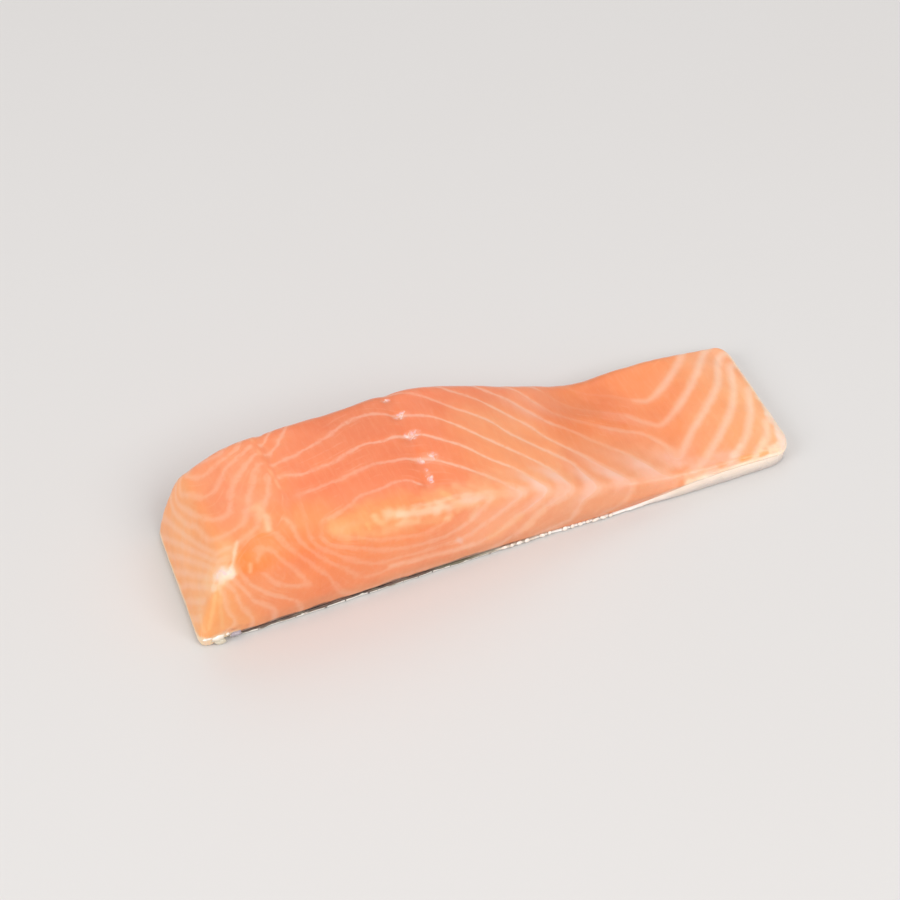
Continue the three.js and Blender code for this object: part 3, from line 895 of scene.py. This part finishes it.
def shapeFlesh(mesh, points, normals, lift, aboveFoot):
    # moves the surface out by the lift and sets the foot on the skin
    x, y, z = points.T
    underside = smoothStep(-normals[:, 2], 0.4, 0.9)
    shaped = points + normals * (lift * (1 - underside))[:, None]
    # the edge between top and front cut is soft towards the loin end
    share = bell(awayFromPath(points, fleshLook["softEdge"]) / 6)
    for axis in range(3):
        shaped[:, axis] += share * (evenOut(mesh, shaped[:, axis], 24) - shaped[:, axis])
    loinFlare, bellyFlare = fleshLook["footFlare"]
    towardsBelly = smoothStep(x, 5, 40)
    flare = loinFlare * (1 - towardsBelly) + bellyFlare * towardsBelly
    flare *= smoothStep(aboveFoot, 1.1, -0.1) * (x > -84)
    shaped[:, :2] += levelOutward(normals) * flare[:, None]
    shaped[:, 2] -= fleshLook["drop"] * np.where(z < 5, underside, 0) * (z > 0.6)
    movePoints(mesh, shaped)


def makeFleshMaterial():
    material, tree, shader = newMaterial("moistSalmonFlesh")
    tones = paints(fleshLook["tones"])
    tone = addAttribute(tree, "fleshTone", "Color")
    phase, pitch, width, show, soft, wobble, scar, sheetAndSheen, matt = (addAttribute(tree, name) for name in (
        "septaPhase", "septaPitch", "septaWidth", "septaShow", "septaSoft", "septaWobble", "scarMask",
        "veilMask", "mattMask"))
    septa = useGroup(tree, septaLines, {
        "Phase": phase, "Pitch": pitch, "Width": width, "Softness": soft, "Wobble": wobble,
        "Unevenness": addRange(tree, wobble, 0.4, 1.2, 0.12, 0.4),
        "Break Up": addRange(tree, wobble, 0.5, 1.2, 0.1, 0.55)})
    line = addProduct(tree, septa["Line"], show)
    glow = addProduct(tree, septa["Glow"], show)
    fat = addMix(tree, 0.52, tone, tones["fat"])

    # fainter fat lines between the main ones, seen in places
    between = useGroup(tree, septaLines, {
        "Phase": addMath(tree, "ADD", addProduct(tree, phase, 3.0), 0.4),
        "Pitch": addProduct(tree, pitch, 0.333),
        "Width": 0.45, "Softness": 1.0, "Wobble": 1.4, "Break Up": 0.9})
    places = addMath(tree, "MAXIMUM", addMottle(tree, 95.0, -0.3, 0.22), 0.0)
    thin = addProduct(tree, between["Line"], places, addRange(tree, show, 0.05, 0.3, 0.0, 0.55))

    # deeper and lighter clouds in the muscle, and fine fibres that run along the fish
    cloud = addMottle(tree, 75.0, 0.0, 1.0)
    deeper = addMix(tree, 1.0, tone, tones["deeper"], "MULTIPLY")
    fibrePlace = addObjectPlace(tree, stretch=(1, 0.16, 0.6), turn=(0, 0, 0.25))
    fibres = addRange(tree, addNoise(tree, fibrePlace, 900.0, 3.0, 0.65), 0.4, 0.8)

    # each pale sheet of painted sheen ends at a fat line and fades the other way
    within = addMath(tree, "FRACT", phase)
    sheet = addProduct(tree, addRange(tree, within, 0.22, 0.9), addRange(tree, within, 1.0, 0.92), sheetAndSheen)

    # torn white fat at the pin bones
    torn = addRange(tree, addNoise(tree, addObjectPlace(tree), 420.0, 3.0, 0.65, 1.0), 0.44, 0.62)
    torn = addProduct(tree, addRange(tree, scar, 0.05, 0.6, 0.0, 0.85), torn)
    lilac = addRange(tree, addNoise(tree, addObjectPlace(tree), 900.0), 0.4, 0.6)
    tornTone = addMix(tree, lilac, tones["tornFat"], tones["tornLilac"])

    colour = addLayers(tree, tone, [
        (deeper, cloud, 0.6),
        (tones["fibre"], fibres, 0.10),
        (tones["glow"], glow, 0.2),
        (tones["thinLine"], thin),
        (fat, line, 0.8),
        (tones["paleSheetAndSheen"], sheet, 0.78),
        (tones["boneMark"], scar, 0.35),
        (tornTone, torn),
    ])
    rough = addMottle(tree, *fleshLook["gloss"])
    feedAll(tree, shader, {
        "Base Color": colour,
        "Roughness": addMath(tree, "ADD", rough, addProduct(tree, matt, 0.25)),
        "Coat Weight": addRange(tree, matt, 0.0, 1.0, 0.5, 0.05),
        "Normal": addWetNormal(tree, *fleshLook["wetness"], relief=addProduct(tree, line, -0.5)),
        **fleshLook["shader"]})
    return material


def makeFleshSlice():
    piece, mesh = smoothCopy("flesh", "fleshSlice", fleshLook["subdivisions"])
    points, normals = pointsOf(mesh)
    x, y, z = points.T
    print("  flesh:", len(mesh.polygons), "faces")
    onTop = smoothStep(normals[:, 2], 0.35, 0.8)
    onFace = smoothStep(-normals[:, 1], 0.5, 0.9)
    fromSeam = np.abs(pastSeam(points))
    aboveFoot = z - heightAlong(points, (normals[:, 2] < -0.95) & (z < 5))

    phase, pitch = septaField(mesh, points, normals)
    show, width, soft, wobble = blendZones(points, septaZones).T
    show = fadeLines(points, phase, show, onTop, onFace, fromSeam)
    scar, pit = pinBoneMarks(points, onTop)
    tone, smeared = addSmears(points, blendZones(points, toneZones))
    show *= 1 - 0.7 * smeared
    tone = paintFoot(points, tone, aboveFoot, onFace)
    seamShow = 0.4 * bell(fromSeam / 0.8) * onTop * smoothStep(noiseOver(points, 3.5, 5), -0.4, 0.3)
    tone = paintTowards(tone, seamShow * smoothStep(y, -12, -3), fleshLook["seamTone"])
    tone *= fleshLook["warmth"]

    lift = fleshRelief(points, phase, pitch, show, pit, fromSeam, onTop)
    shapeFlesh(mesh, points, normals, lift, aboveFoot)
    stored = {
        "septaPhase": phase,
        "septaPitch": pitch,
        "septaWidth": width,
        "septaShow": show,
        "septaSoft": soft,
        "septaWobble": wobble,
        "scarMask": scar,
        "veilMask": blendVeils(points),
        "mattMask": smoothStep(awayFromPath(points, fleshLook["softEdge"][:-1]), 5, 2),
    }
    for name, values in stored.items():
        storeValues(mesh, name, values)
    storeColours(mesh, "fleshTone", linearArray(np.clip(tone, 0, 255)))
    finishMesh(mesh, makeFleshMaterial())
    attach(piece, "root")
    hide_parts("flesh")
    return piece


fleshSlice = makeFleshSlice()
print("salmon portion: flesh made")


# The skin

skinLook = {
    "subdivisions": 2,
    "raise": 0.28,  # room under the sheet for the scales, in mm
    "raggedEdge": 0.22,
    "bellyLean": (0.32, 1.0),  # the belly edge's lean in over the flesh, and its rise up it, in mm
    "darkUntil": -4.0,  # where the dark pigment ends, in mm along the slice
    "bellyFrom": 34.0,  # where the clear belly fat is whole
    "tones": {
        # outside
        "back": (56, 62, 66),
        "flank": (150, 158, 162),
        "belly": (232, 228, 222),
        # cut edge over the loin
        "pigment": (58, 42, 38),
        "pigmentFaded": (104, 76, 64),
        "pigmentOlive": (112, 108, 84),
        "grey": (112, 96, 84),
        "greyFaded": (172, 160, 144),
        "tornLine": (240, 236, 228),
        "tornDash": (96, 86, 80),
        "silver": (206, 200, 206),
        # cut edge over flank and belly
        "flankFat": (206, 200, 184),
        "clearFat": (206, 193, 187),
        "brightFat": (252, 231, 215),
        "greenFat": (232, 222, 196),
        # the white along the top of the cut edge is fat with painted glints of the wet edge
        "whiteFat": (255, 250, 244),
    },
    "gloss": (300.0, 0.25, 0.45),
    "wetness": (500.0, 1900.0, 0.4, 0.4),
    "shader": {
        "IOR": 1.4,
        "Coat Weight": 0.35,
        "Coat Roughness": 0.12,
        "Subsurface Weight": 0.15,
        "Subsurface Radius": (1.0, 0.8, 0.6),
        "Subsurface Scale": 0.8 * mm,
    },
}


def makeSkinMaterial():
    material, tree, shader = newMaterial("salmonSkin")
    tones = paints(skinLook["tones"])
    along = addInMm(tree, "X")
    sway = addSway(tree, addNoise(tree, addObjectPlace(tree), 140.0, 3.0), 22.0)
    swayed = addMath(tree, "ADD", along, sway)
    rise = addAttribute(tree, "edgeRise")

    # underside: dark back, silver flank, white belly
    outer = addLayers(tree, tones["back"], [
        (tones["flank"], addRange(tree, swayed, -50.0, -8.0)),
        (tones["belly"], addRange(tree, swayed, -8.0, 36.0)),
    ])

    # cut edge over the loin: a dark line of pigment, grey below it, and a torn pale line at the bottom
    strands = addNoise(tree, addObjectPlace(tree, stretch=(0.35, 1, 2.5)), 700.0, 3.0, 0.6)
    lengthways = addObjectPlace(tree, stretch=(1, 0, 0))
    olive = addRange(tree, addNoise(tree, lengthways, 120.0), 0.5, 0.65)
    towardsPale = addProduct(tree, addRange(tree, swayed, -30.0, -14.0), 0.8)
    pigment = addLayers(tree, tones["pigment"], [
        (tones["pigmentFaded"], addRange(tree, strands, 0.35, 0.6)),
        (tones["pigmentOlive"], addMath(tree, "MAXIMUM", addProduct(tree, olive, 0.6), towardsPale)),
    ])
    grey = addMix(tree, addRange(tree, strands, 0.4, 0.62), tones["grey"], tones["greyFaded"])
    dashes = addRange(tree, addNoise(tree, lengthways, 420.0, 2.0, 0.7), 0.56, 0.64)
    tornLine = addMix(tree, dashes, tones["tornLine"], tones["tornDash"])
    tornRise = addMath(tree, "ADD", rise, addSway(tree, strands, 1.1))
    loinEdge = addLayers(tree, grey, [
        (pigment, addRange(tree, tornRise, 0.64, 0.76)),
        (tornLine, addRange(tree, tornRise, 0.62, 0.54)),
        (tones["silver"], addRange(tree, along, -77.5, -80.0)),
    ])

    # cut edge over the belly: clear fat, brighter at the top
    bellyRise = addMath(tree, "ADD", rise, addSway(tree, strands, 0.3))
    bellyEdge = addLayers(tree, tones["clearFat"], [
        (tones["brightFat"], addRange(tree, bellyRise, 0.35, 0.9)),
        (tones["greenFat"], addMottle(tree, 160.0, -0.1, 0.35), 0.6),
    ])
    flankEdge = addMix(tree, 0.5, tones["flankFat"], bellyEdge)
    whiteFrom = addRange(tree, swayed, 8.0, 14.0)
    whiteUntil = addRange(tree, swayed, 50.0, 36.0)
    darkUntil = skinLook["darkUntil"]
    edge = addLayers(tree, loinEdge, [
        (flankEdge, addRange(tree, swayed, darkUntil - 9, darkUntil + 5)),
        (bellyEdge, addRange(tree, swayed, 2.0, skinLook["bellyFrom"])),
        # a white line high on the cut edge between flank and belly: fat, with painted glints
        (tones["whiteFat"], addProduct(tree, whiteFrom, whiteUntil, addRange(tree, rise, 0.35, 0.6))),
    ])
    finishShader(tree, shader, skinLook, addMix(tree, addRange(tree, rise, 0.02, 0.12), outer, edge))
    return material


def makeSkinSheet():
    piece, mesh = smoothCopy("skin", "skinSheet", skinLook["subdivisions"])
    points, normals = pointsOf(mesh)
    x, y, z = points.T
    rise = np.clip(z / np.maximum(heightAlong(points, normals[:, 2] > 0.9), 0.2), 0, 1)

    side = smoothStep(np.abs(normals[:, 1]), 0.3, 0.8)
    ragged = noiseOver(points * [1, 1, 2], 4.0, 21) + 0.6 * noiseOver(points * [1, 1, 2], 1.3, 22)
    points[:, 1] -= np.sign(y) * skinLook["raggedEdge"] * side * np.clip(ragged + 0.4, 0, 1)
    leanIn, leanUp = skinLook["bellyLean"]
    lean = smoothStep(rise, 0.45, 0.95) * smoothStep(x, 35, 55)
    points[:, :2] -= levelOutward(normals) * (leanIn * lean)[:, None]
    points[:, 2] += 0.12 * side * noiseOver(points, 2.0, 23) * (rise > 0.5)
    points[:, 2] += leanUp * lean * (1 + 0.25 * ragged)
    points[:, 2] += skinLook["raise"] * smoothStep(z, 0.5, 0.0)
    movePoints(mesh, points)
    storeValues(mesh, "edgeRise", rise)
    finishMesh(mesh, makeSkinMaterial())
    return piece


skinSheet = makeSkinSheet()
print("salmon portion: skin made")


# Scales under the skin, in rows that overlap towards the tail
scaleLook = {
    "sizes": {
        "Patch Length": 182 * mm,
        "Patch Width": 48 * mm,
        "Scale Spacing": 2.6 * mm,
        "Row Spacing": 1.6 * mm,
        "Scale Width": 2.9 * mm,
        "Scale Length": 3.1 * mm,
        "Thickness": 0.06 * mm,
        "Bow": 0.09 * mm,
        "Tilt": 3.6,  # degrees
        "Edge Margin": 1.35 * mm,
        "Seed": 7,
    },
    "tones": {
        "back": (52, 62, 68),
        "flank": (144, 156, 163),
        "belly": (226, 226, 222),
        "shine": (226, 230, 234),
        "spot": (26, 27, 30),
        "lateralLine": (66, 72, 76),
    },
    "gloss": (400.0, 0.24, 0.42),
    "wetness": (900.0, 4000.0, 0.3, 0.25),
    "shader": {"Coat Weight": 0.4, "Coat Roughness": 0.1},
}


def makeScaleTree():
    tree, given, result = newTree("GeometryNodeTree", "scaleRows", {
        "Geometry": "Geometry", "Skin Sheet": "Object", **scaleLook["sizes"], "Material": "Material",
    }, {"Geometry": "Geometry"})
    skin = addNode(tree, "GeometryNodeObjectInfo", {"Object": given["Skin Sheet"]}).outputs["Geometry"]
    columns = addMath(tree, "DIVIDE", given["Patch Length"], given["Scale Spacing"])
    rows = addMath(tree, "DIVIDE", given["Patch Width"], given["Row Spacing"])
    grid = addStep(tree, "GeometryNodeMeshGrid", {
        "Size X": given["Patch Length"], "Size Y": given["Patch Width"],
        "Vertices X": addMath(tree, "FLOOR", columns), "Vertices Y": addMath(tree, "FLOOR", rows)})

    # every second row is shifted by half a scale, and each scale a little at random
    here = addStep(tree, "GeometryNodeInputPosition")
    place = addNode(tree, "ShaderNodeSeparateXYZ", {0: here}).outputs
    row = addMath(tree, "ROUND", addMath(tree, "DIVIDE", place["Y"], given["Row Spacing"]))
    shift = addProduct(tree, addMath(tree, "FLOORED_MODULO", row, 2.0), given["Scale Spacing"], 0.5)
    sideways = addStep(tree, "ShaderNodeCombineXYZ", {"X": shift})
    jitter = addRandom(tree, (-0.1 * mm, -0.1 * mm, 0), (0.1 * mm, 0.1 * mm, 0), given["Seed"])
    moved = addStep(tree, "GeometryNodeSetPosition", {
        "Geometry": grid, "Offset": addVector(tree, "ADD", sideways, jitter)})

    # only scales that lie wholly under the skin stay, and they sit against it
    below = addVector(tree, "ADD", here, (0, 0, -5 * mm))
    further = addStep(tree, "ShaderNodeVectorMath", {
        0: addVector(tree, "SIGN", here), "Scale": given["Edge Margin"]}, operation="SCALE")
    atEdge, atScale = (addNode(tree, "GeometryNodeRaycast", {
        "Target Geometry": skin, "Source Position": start, "Ray Direction": (0, 0, 1), "Ray Length": 0.1,
    }).outputs for start in (addVector(tree, "ADD", below, further), below))
    outside = addStep(tree, "FunctionNodeBooleanMath", {0: atEdge["Is Hit"]}, operation="NOT")
    kept = addStep(tree, "GeometryNodeDeleteGeometry", {
        "Geometry": moved, "Selection": outside}, domain="POINT")
    seated = addStep(tree, "GeometryNodeSetPosition", {
        "Geometry": kept, "Position": atScale["Hit Position"], "Offset": (0, 0, -0.14 * mm)})

    # one scale: a thin plate, bowed across
    plate = addStep(tree, "GeometryNodeMeshCylinder", {
        "Vertices": 10, "Side Segments": 1, "Radius": 1.0, "Depth": 1.0}, fill_type="NGON")
    halfWidth = addProduct(tree, given["Scale Width"], 0.5)
    halfSize = addStep(tree, "ShaderNodeCombineXYZ", {
        "X": halfWidth, "Y": addProduct(tree, given["Scale Length"], 0.5), "Z": given["Thickness"]})
    sized = addStep(tree, "GeometryNodeTransform", {"Geometry": plate, "Scale": halfSize})
    share = addMath(tree, "DIVIDE", place["X"], halfWidth)
    bow = addStep(tree, "ShaderNodeCombineXYZ", {"Z": addProduct(tree, share, share, given["Bow"])})
    scale = addStep(tree, "GeometryNodeSetPosition", {"Geometry": sized, "Offset": bow})

    # each one tilted, turned and sized a little differently, with a shade of its own
    turn = addStep(tree, "ShaderNodeCombineXYZ", {
        "X": addProduct(tree, given["Tilt"], -math.pi / 180),
        "Z": addRandom(tree, -0.07, 0.07, given["Seed"])})
    placed = addStep(tree, "GeometryNodeInstanceOnPoints", {
        "Points": seated, "Instance": scale, "Rotation": turn,
        "Scale": addRandom(tree, 0.92, 1.08, addMath(tree, "ADD", given["Seed"], 1.0))})
    shaded = addStep(tree, "GeometryNodeStoreNamedAttribute", {
        "Geometry": placed, "Name": "scaleShade",
        "Value": addRandom(tree, 0.0, 1.0, addMath(tree, "ADD", given["Seed"], 2.0)),
    }, data_type="FLOAT", domain="INSTANCE")
    endTree(tree, shaded, given, result)
    return tree


def makeScaleMaterial():
    material, tree, shader = newMaterial("salmonScales")
    tones = paints(scaleLook["tones"])
    along = addInMm(tree, "X")
    sway = addProduct(tree, addNoise(tree, addObjectPlace(tree), 45.0, 3.0), 16.0)
    swayed = addMath(tree, "ADD", along, sway)
    # black spots on the back and upper flank, and the lateral line
    spots = addNode(tree, "ShaderNodeTexVoronoi", {
        "Vector": addObjectPlace(tree, stretch=(1, 1, 0)), "Scale": 95.0, "Randomness": 1.0})
    spot = addRange(tree, spots.outputs["Distance"], 0.26, 0.17)
    spot = addProduct(tree, spot, addRange(tree, swayed, 6.0, -24.0))
    lateral = addRange(tree, addMath(tree, "ABSOLUTE", addMath(tree, "ADD", along, 16.0)), 0.55, 0.25)
    dashes = addRange(tree, addNoise(tree, addObjectPlace(tree), 420.0, 1.0), 0.42, 0.55)
    colour = addLayers(tree, tones["back"], [
        (tones["flank"], addRange(tree, swayed, -46.0, -6.0)),
        (tones["belly"], addRange(tree, swayed, -6.0, 38.0)),
        (tones["shine"], addAttribute(tree, "scaleShade"), 0.35),
        (tones["spot"], spot, 0.85),
        (tones["lateralLine"], lateral, dashes, 0.7),
    ])
    feed(tree, shader.inputs["Metallic"], addRange(tree, swayed, -40.0, 10.0, 0.2, 0.5))
    finishShader(tree, shader, scaleLook, colour)
    return material


def makeScales():
    piece = linkObject("scaleRows", bpy.data.meshes.new("scaleRows"))
    mesh = runGeometryTree(piece, makeScaleTree(), {
        "Skin Sheet": skinSheet, "Material": makeScaleMaterial(), **scaleLook["sizes"]})
    points, normals = pointsOf(mesh)
    points[:, 2] = np.maximum(points[:, 2], 0)
    movePoints(mesh, points)
    print("  scales:", len(mesh.polygons), "faces")
    return piece


scaleRows = makeScales()


# Wet beads, white as a painted highlight of the wet foot's glints, and torn bits of fat along the front
# foot of the slice

beadLook = {
    "span": (-1.5, 31.0),  # along the slice, in mm
    "sizes": {
        "Bead Spacing": 2.2 * mm,
        "Bead Size": 0.6 * mm,
        "Kept Share": 0.8,
        "Seed": 3,
    },
}

# Under the trimmed corner: place in mm, reach in mm
scraps = [
    ((-87.0, -20.8, 3.0), (1.3, 0.6, 0.4)),
    ((-84.4, -21.2, 2.3), (2.0, 0.7, 1.0)),
    ((-83.8, -21.4, 1.0), (1.7, 0.6, 0.9)),
    ((-79.4, -21.2, 1.9), (1.7, 0.6, 0.8)),
    ((-81.6, -21.3, 2.9), (0.6, 0.4, 0.35)),
]

fatAndGlintLook = {
    "tones": {
        "white": (255, 248, 240),
        "cream": (246, 222, 200),
        "olive": (210, 200, 174),
        "skinLilac": (176, 165, 174),
    },
    "gloss": (700.0, 0.12, 0.3),
    "wetness": (900.0, 3000.0, 0.3, 0.4),
    "shader": {"Coat Weight": 0.6, "Coat Roughness": 0.08},
}


def makeBeadTree():
    tree, given, result = newTree("GeometryNodeTree", "wetBeads", {
        "Geometry": "Geometry", **beadLook["sizes"], "Material": "Material"}, {"Geometry": "Geometry"})
    path = addStep(tree, "GeometryNodeMeshToCurve", {"Mesh": given["Geometry"]})
    dots = addStep(tree, "GeometryNodeCurveToPoints", {
        "Curve": path, "Length": given["Bead Spacing"]}, mode="LENGTH")
    gone = addNode(tree, "FunctionNodeRandomValue", {
        "Probability": addMath(tree, "SUBTRACT", 1.0, given["Kept Share"]), "Seed": given["Seed"],
    }, data_type="BOOLEAN").outputs[3]
    kept = addStep(tree, "GeometryNodeDeleteGeometry", {
        "Geometry": dots, "Selection": gone}, domain="POINT")
    drop = addStep(tree, "GeometryNodeMeshUVSphere", {
        "Segments": 8, "Rings": 5, "Radius": given["Bead Size"]})
    placed = addStep(tree, "GeometryNodeInstanceOnPoints", {
        "Points": kept, "Instance": drop,
        "Rotation": addRandom(tree, (-0.2, -0.3, -0.25), (0.2, 0.3, 0.25)),
        "Scale": addRandom(tree, (0.9, 0.6, 0.7), (2.3, 0.9, 1.25), given["Seed"])})
    endTree(tree, placed, given, result, smooth=True)
    return tree


def makeFatMaterial():
    # white to cream, olive low down at the trimmed corner, lilac beside the skin; the olive low down is
    # painted shade under the scraps, with their translucent colour
    material, tree, shader = newMaterial("whiteFat")
    tones = paints(fatAndGlintLook["tones"])
    along = addInMm(tree, "X")
    atCorner = addRange(tree, along, -40.0, -60.0)
    colour = addLayers(tree, tones["white"], [
        (tones["cream"], addMottle(tree, 900.0, 0.0, 0.7)),
        # painted shade: olive low down under the scraps, with their translucency
        (tones["olive"], atCorner, addRange(tree, addInMm(tree, "Z"), 3.0, 2.0), 0.8),
        (tones["skinLilac"], addRange(tree, along, -81.6, -80.6), atCorner),
    ])
    finishShader(tree, shader, fatAndGlintLook, colour)
    return material


def footLine(start, end, step=1.0):
    # the line where flesh and skin meet, along the front of the slice
    points, normals = pointsOf(skinSheet.data)
    line = []
    for x in np.arange(start, end, step):
        near = points[np.abs(points[:, 0] - x) < 1.2]
        front = near[near[:, 1] < near[:, 1].min() + 0.5]
        line.append((x, front[:, 1].min() - 0.05, front[:, 2].max() + 0.1))
    return np.array(line)


# the beads' white stands for the glints along the wet foot: a painted highlight
def makeBeads(fatAndGlintMaterial):
    line = footLine(*beadLook["span"])
    mesh = bpy.data.meshes.new("beadPath")
    mesh.from_pydata((line * mm).tolist(), [(i, i + 1) for i in range(len(line) - 1)], [])
    piece = linkObject("wetBeads", mesh)
    runGeometryTree(piece, makeBeadTree(), {"Material": fatAndGlintMaterial, **beadLook["sizes"]})
    return piece


def makeScraps(fatAndGlintMaterial):
    work = bmesh.new()
    for place, reach in scraps:
        for vert in bmesh.ops.create_icosphere(work, subdivisions=3, radius=1.0)["verts"]:
            swell = 1 + 0.35 * noise.noise(vert.co * 1.3 + Vector(place))
            swell += 0.12 * noise.noise(vert.co * 4 + Vector(place))
            spot = Vector([place[k] + vert.co[k] * swell * reach[k] for k in range(3)])
            spot.z = max(spot.z, 0.0)
            vert.co = spot * mm
    mesh = bpy.data.meshes.new("fatScraps")
    work.to_mesh(mesh)
    work.free()
    finishMesh(mesh, fatAndGlintMaterial)
    return linkObject("fatScraps", mesh)


fatAndGlintMaterial = makeFatMaterial()
wetBeads = makeBeads(fatAndGlintMaterial)
fatScraps = makeScraps(fatAndGlintMaterial)

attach(skinSheet, "root")
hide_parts("skin")
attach(scaleRows, "root")
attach(wetBeads, "root")
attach(fatScraps, "root")
print("salmon portion: scales, beads and scraps made")


# Camera, floor and light

stageLook = {
    "cameraPlace": (-206.9, -448.2, 517.5),  # mm
    "cameraElevation": 45.31,
    "cameraAzimuth": -23.91,
    "lens": 102.76,
    "floorTones": {"pale": (222, 219, 217), "shade": (220, 216, 213)},
    "floorRoughness": 0.6,
    "floorSize": 6.0,
    "worldStrength": 0.53,
    # place, size and power
    "softboxes": {
        "frontSoftbox": ((0.25, -1.0, 1.1), (1.2, 0.8), 11.6),
        "backSoftbox": ((0.3, 1.1, 1.2), (1.4, 0.9), 3),
        "leftSoftbox": ((-1.2, -0.2, 0.8), (0.8, 0.8), 6.5),
    },
}


def makeCamera():
    azimuth = math.radians(stageLook["cameraAzimuth"])
    elevation = math.radians(stageLook["cameraElevation"])
    back = Vector((math.sin(azimuth) * math.cos(elevation), -math.cos(azimuth) * math.cos(elevation),
                   math.sin(elevation)))
    data = bpy.data.cameras.new("photoCamera")
    data.sensor_width = 36
    data.lens = stageLook["lens"]
    camera = linkObject("photoCamera", data)
    camera.location = Vector(stageLook["cameraPlace"]) * mm
    camera.rotation_euler = (-back).to_track_quat("-Z", "Y").to_euler()
    bpy.context.scene.camera = camera


def makeSoftbox(name, place, size, power):
    # a soft rectangle of light that faces the slice
    data = bpy.data.lights.new(name, "AREA")
    data.shape = "RECTANGLE"
    data.size, data.size_y = size
    data.energy = power
    light = linkObject(name, data)
    light.location = place
    light.rotation_euler = Vector(place).to_track_quat("Z", "Y").to_euler()


def makeFloor():
    half = stageLook["floorSize"] / 2
    corners = [(-half, -half, 0), (half, -half, 0), (half, half, 0), (-half, half, 0)]
    mesh = bpy.data.meshes.new("studioFloor")
    mesh.from_pydata(corners, [], [(0, 1, 2, 3)])
    material, tree, shader = newMaterial("paleFloor")
    tones = paints(stageLook["floorTones"])
    feedAll(tree, shader, {
        "Base Color": addMix(tree, addMottle(tree, 6.0, 0.0, 0.25), tones["pale"], tones["shade"]),
        "Roughness": stageLook["floorRoughness"]})
    mesh.materials.append(material)
    linkObject("studioFloor", mesh)


def makeLight():
    world = bpy.data.worlds.new("studioLight")
    world.use_nodes = True
    feedAll(world.node_tree, world.node_tree.nodes["Background"], {
        "Color": (1, 1, 1, 1), "Strength": stageLook["worldStrength"]})
    bpy.context.scene.world = world
    bpy.context.scene.view_settings.view_transform = "Standard"
    for name, (place, size, power) in stageLook["softboxes"].items():
        makeSoftbox(name, place, size, power)


makeCamera()
makeFloor()
makeLight()
print("salmon portion: stage made")

bpy.context.view_layer.update()
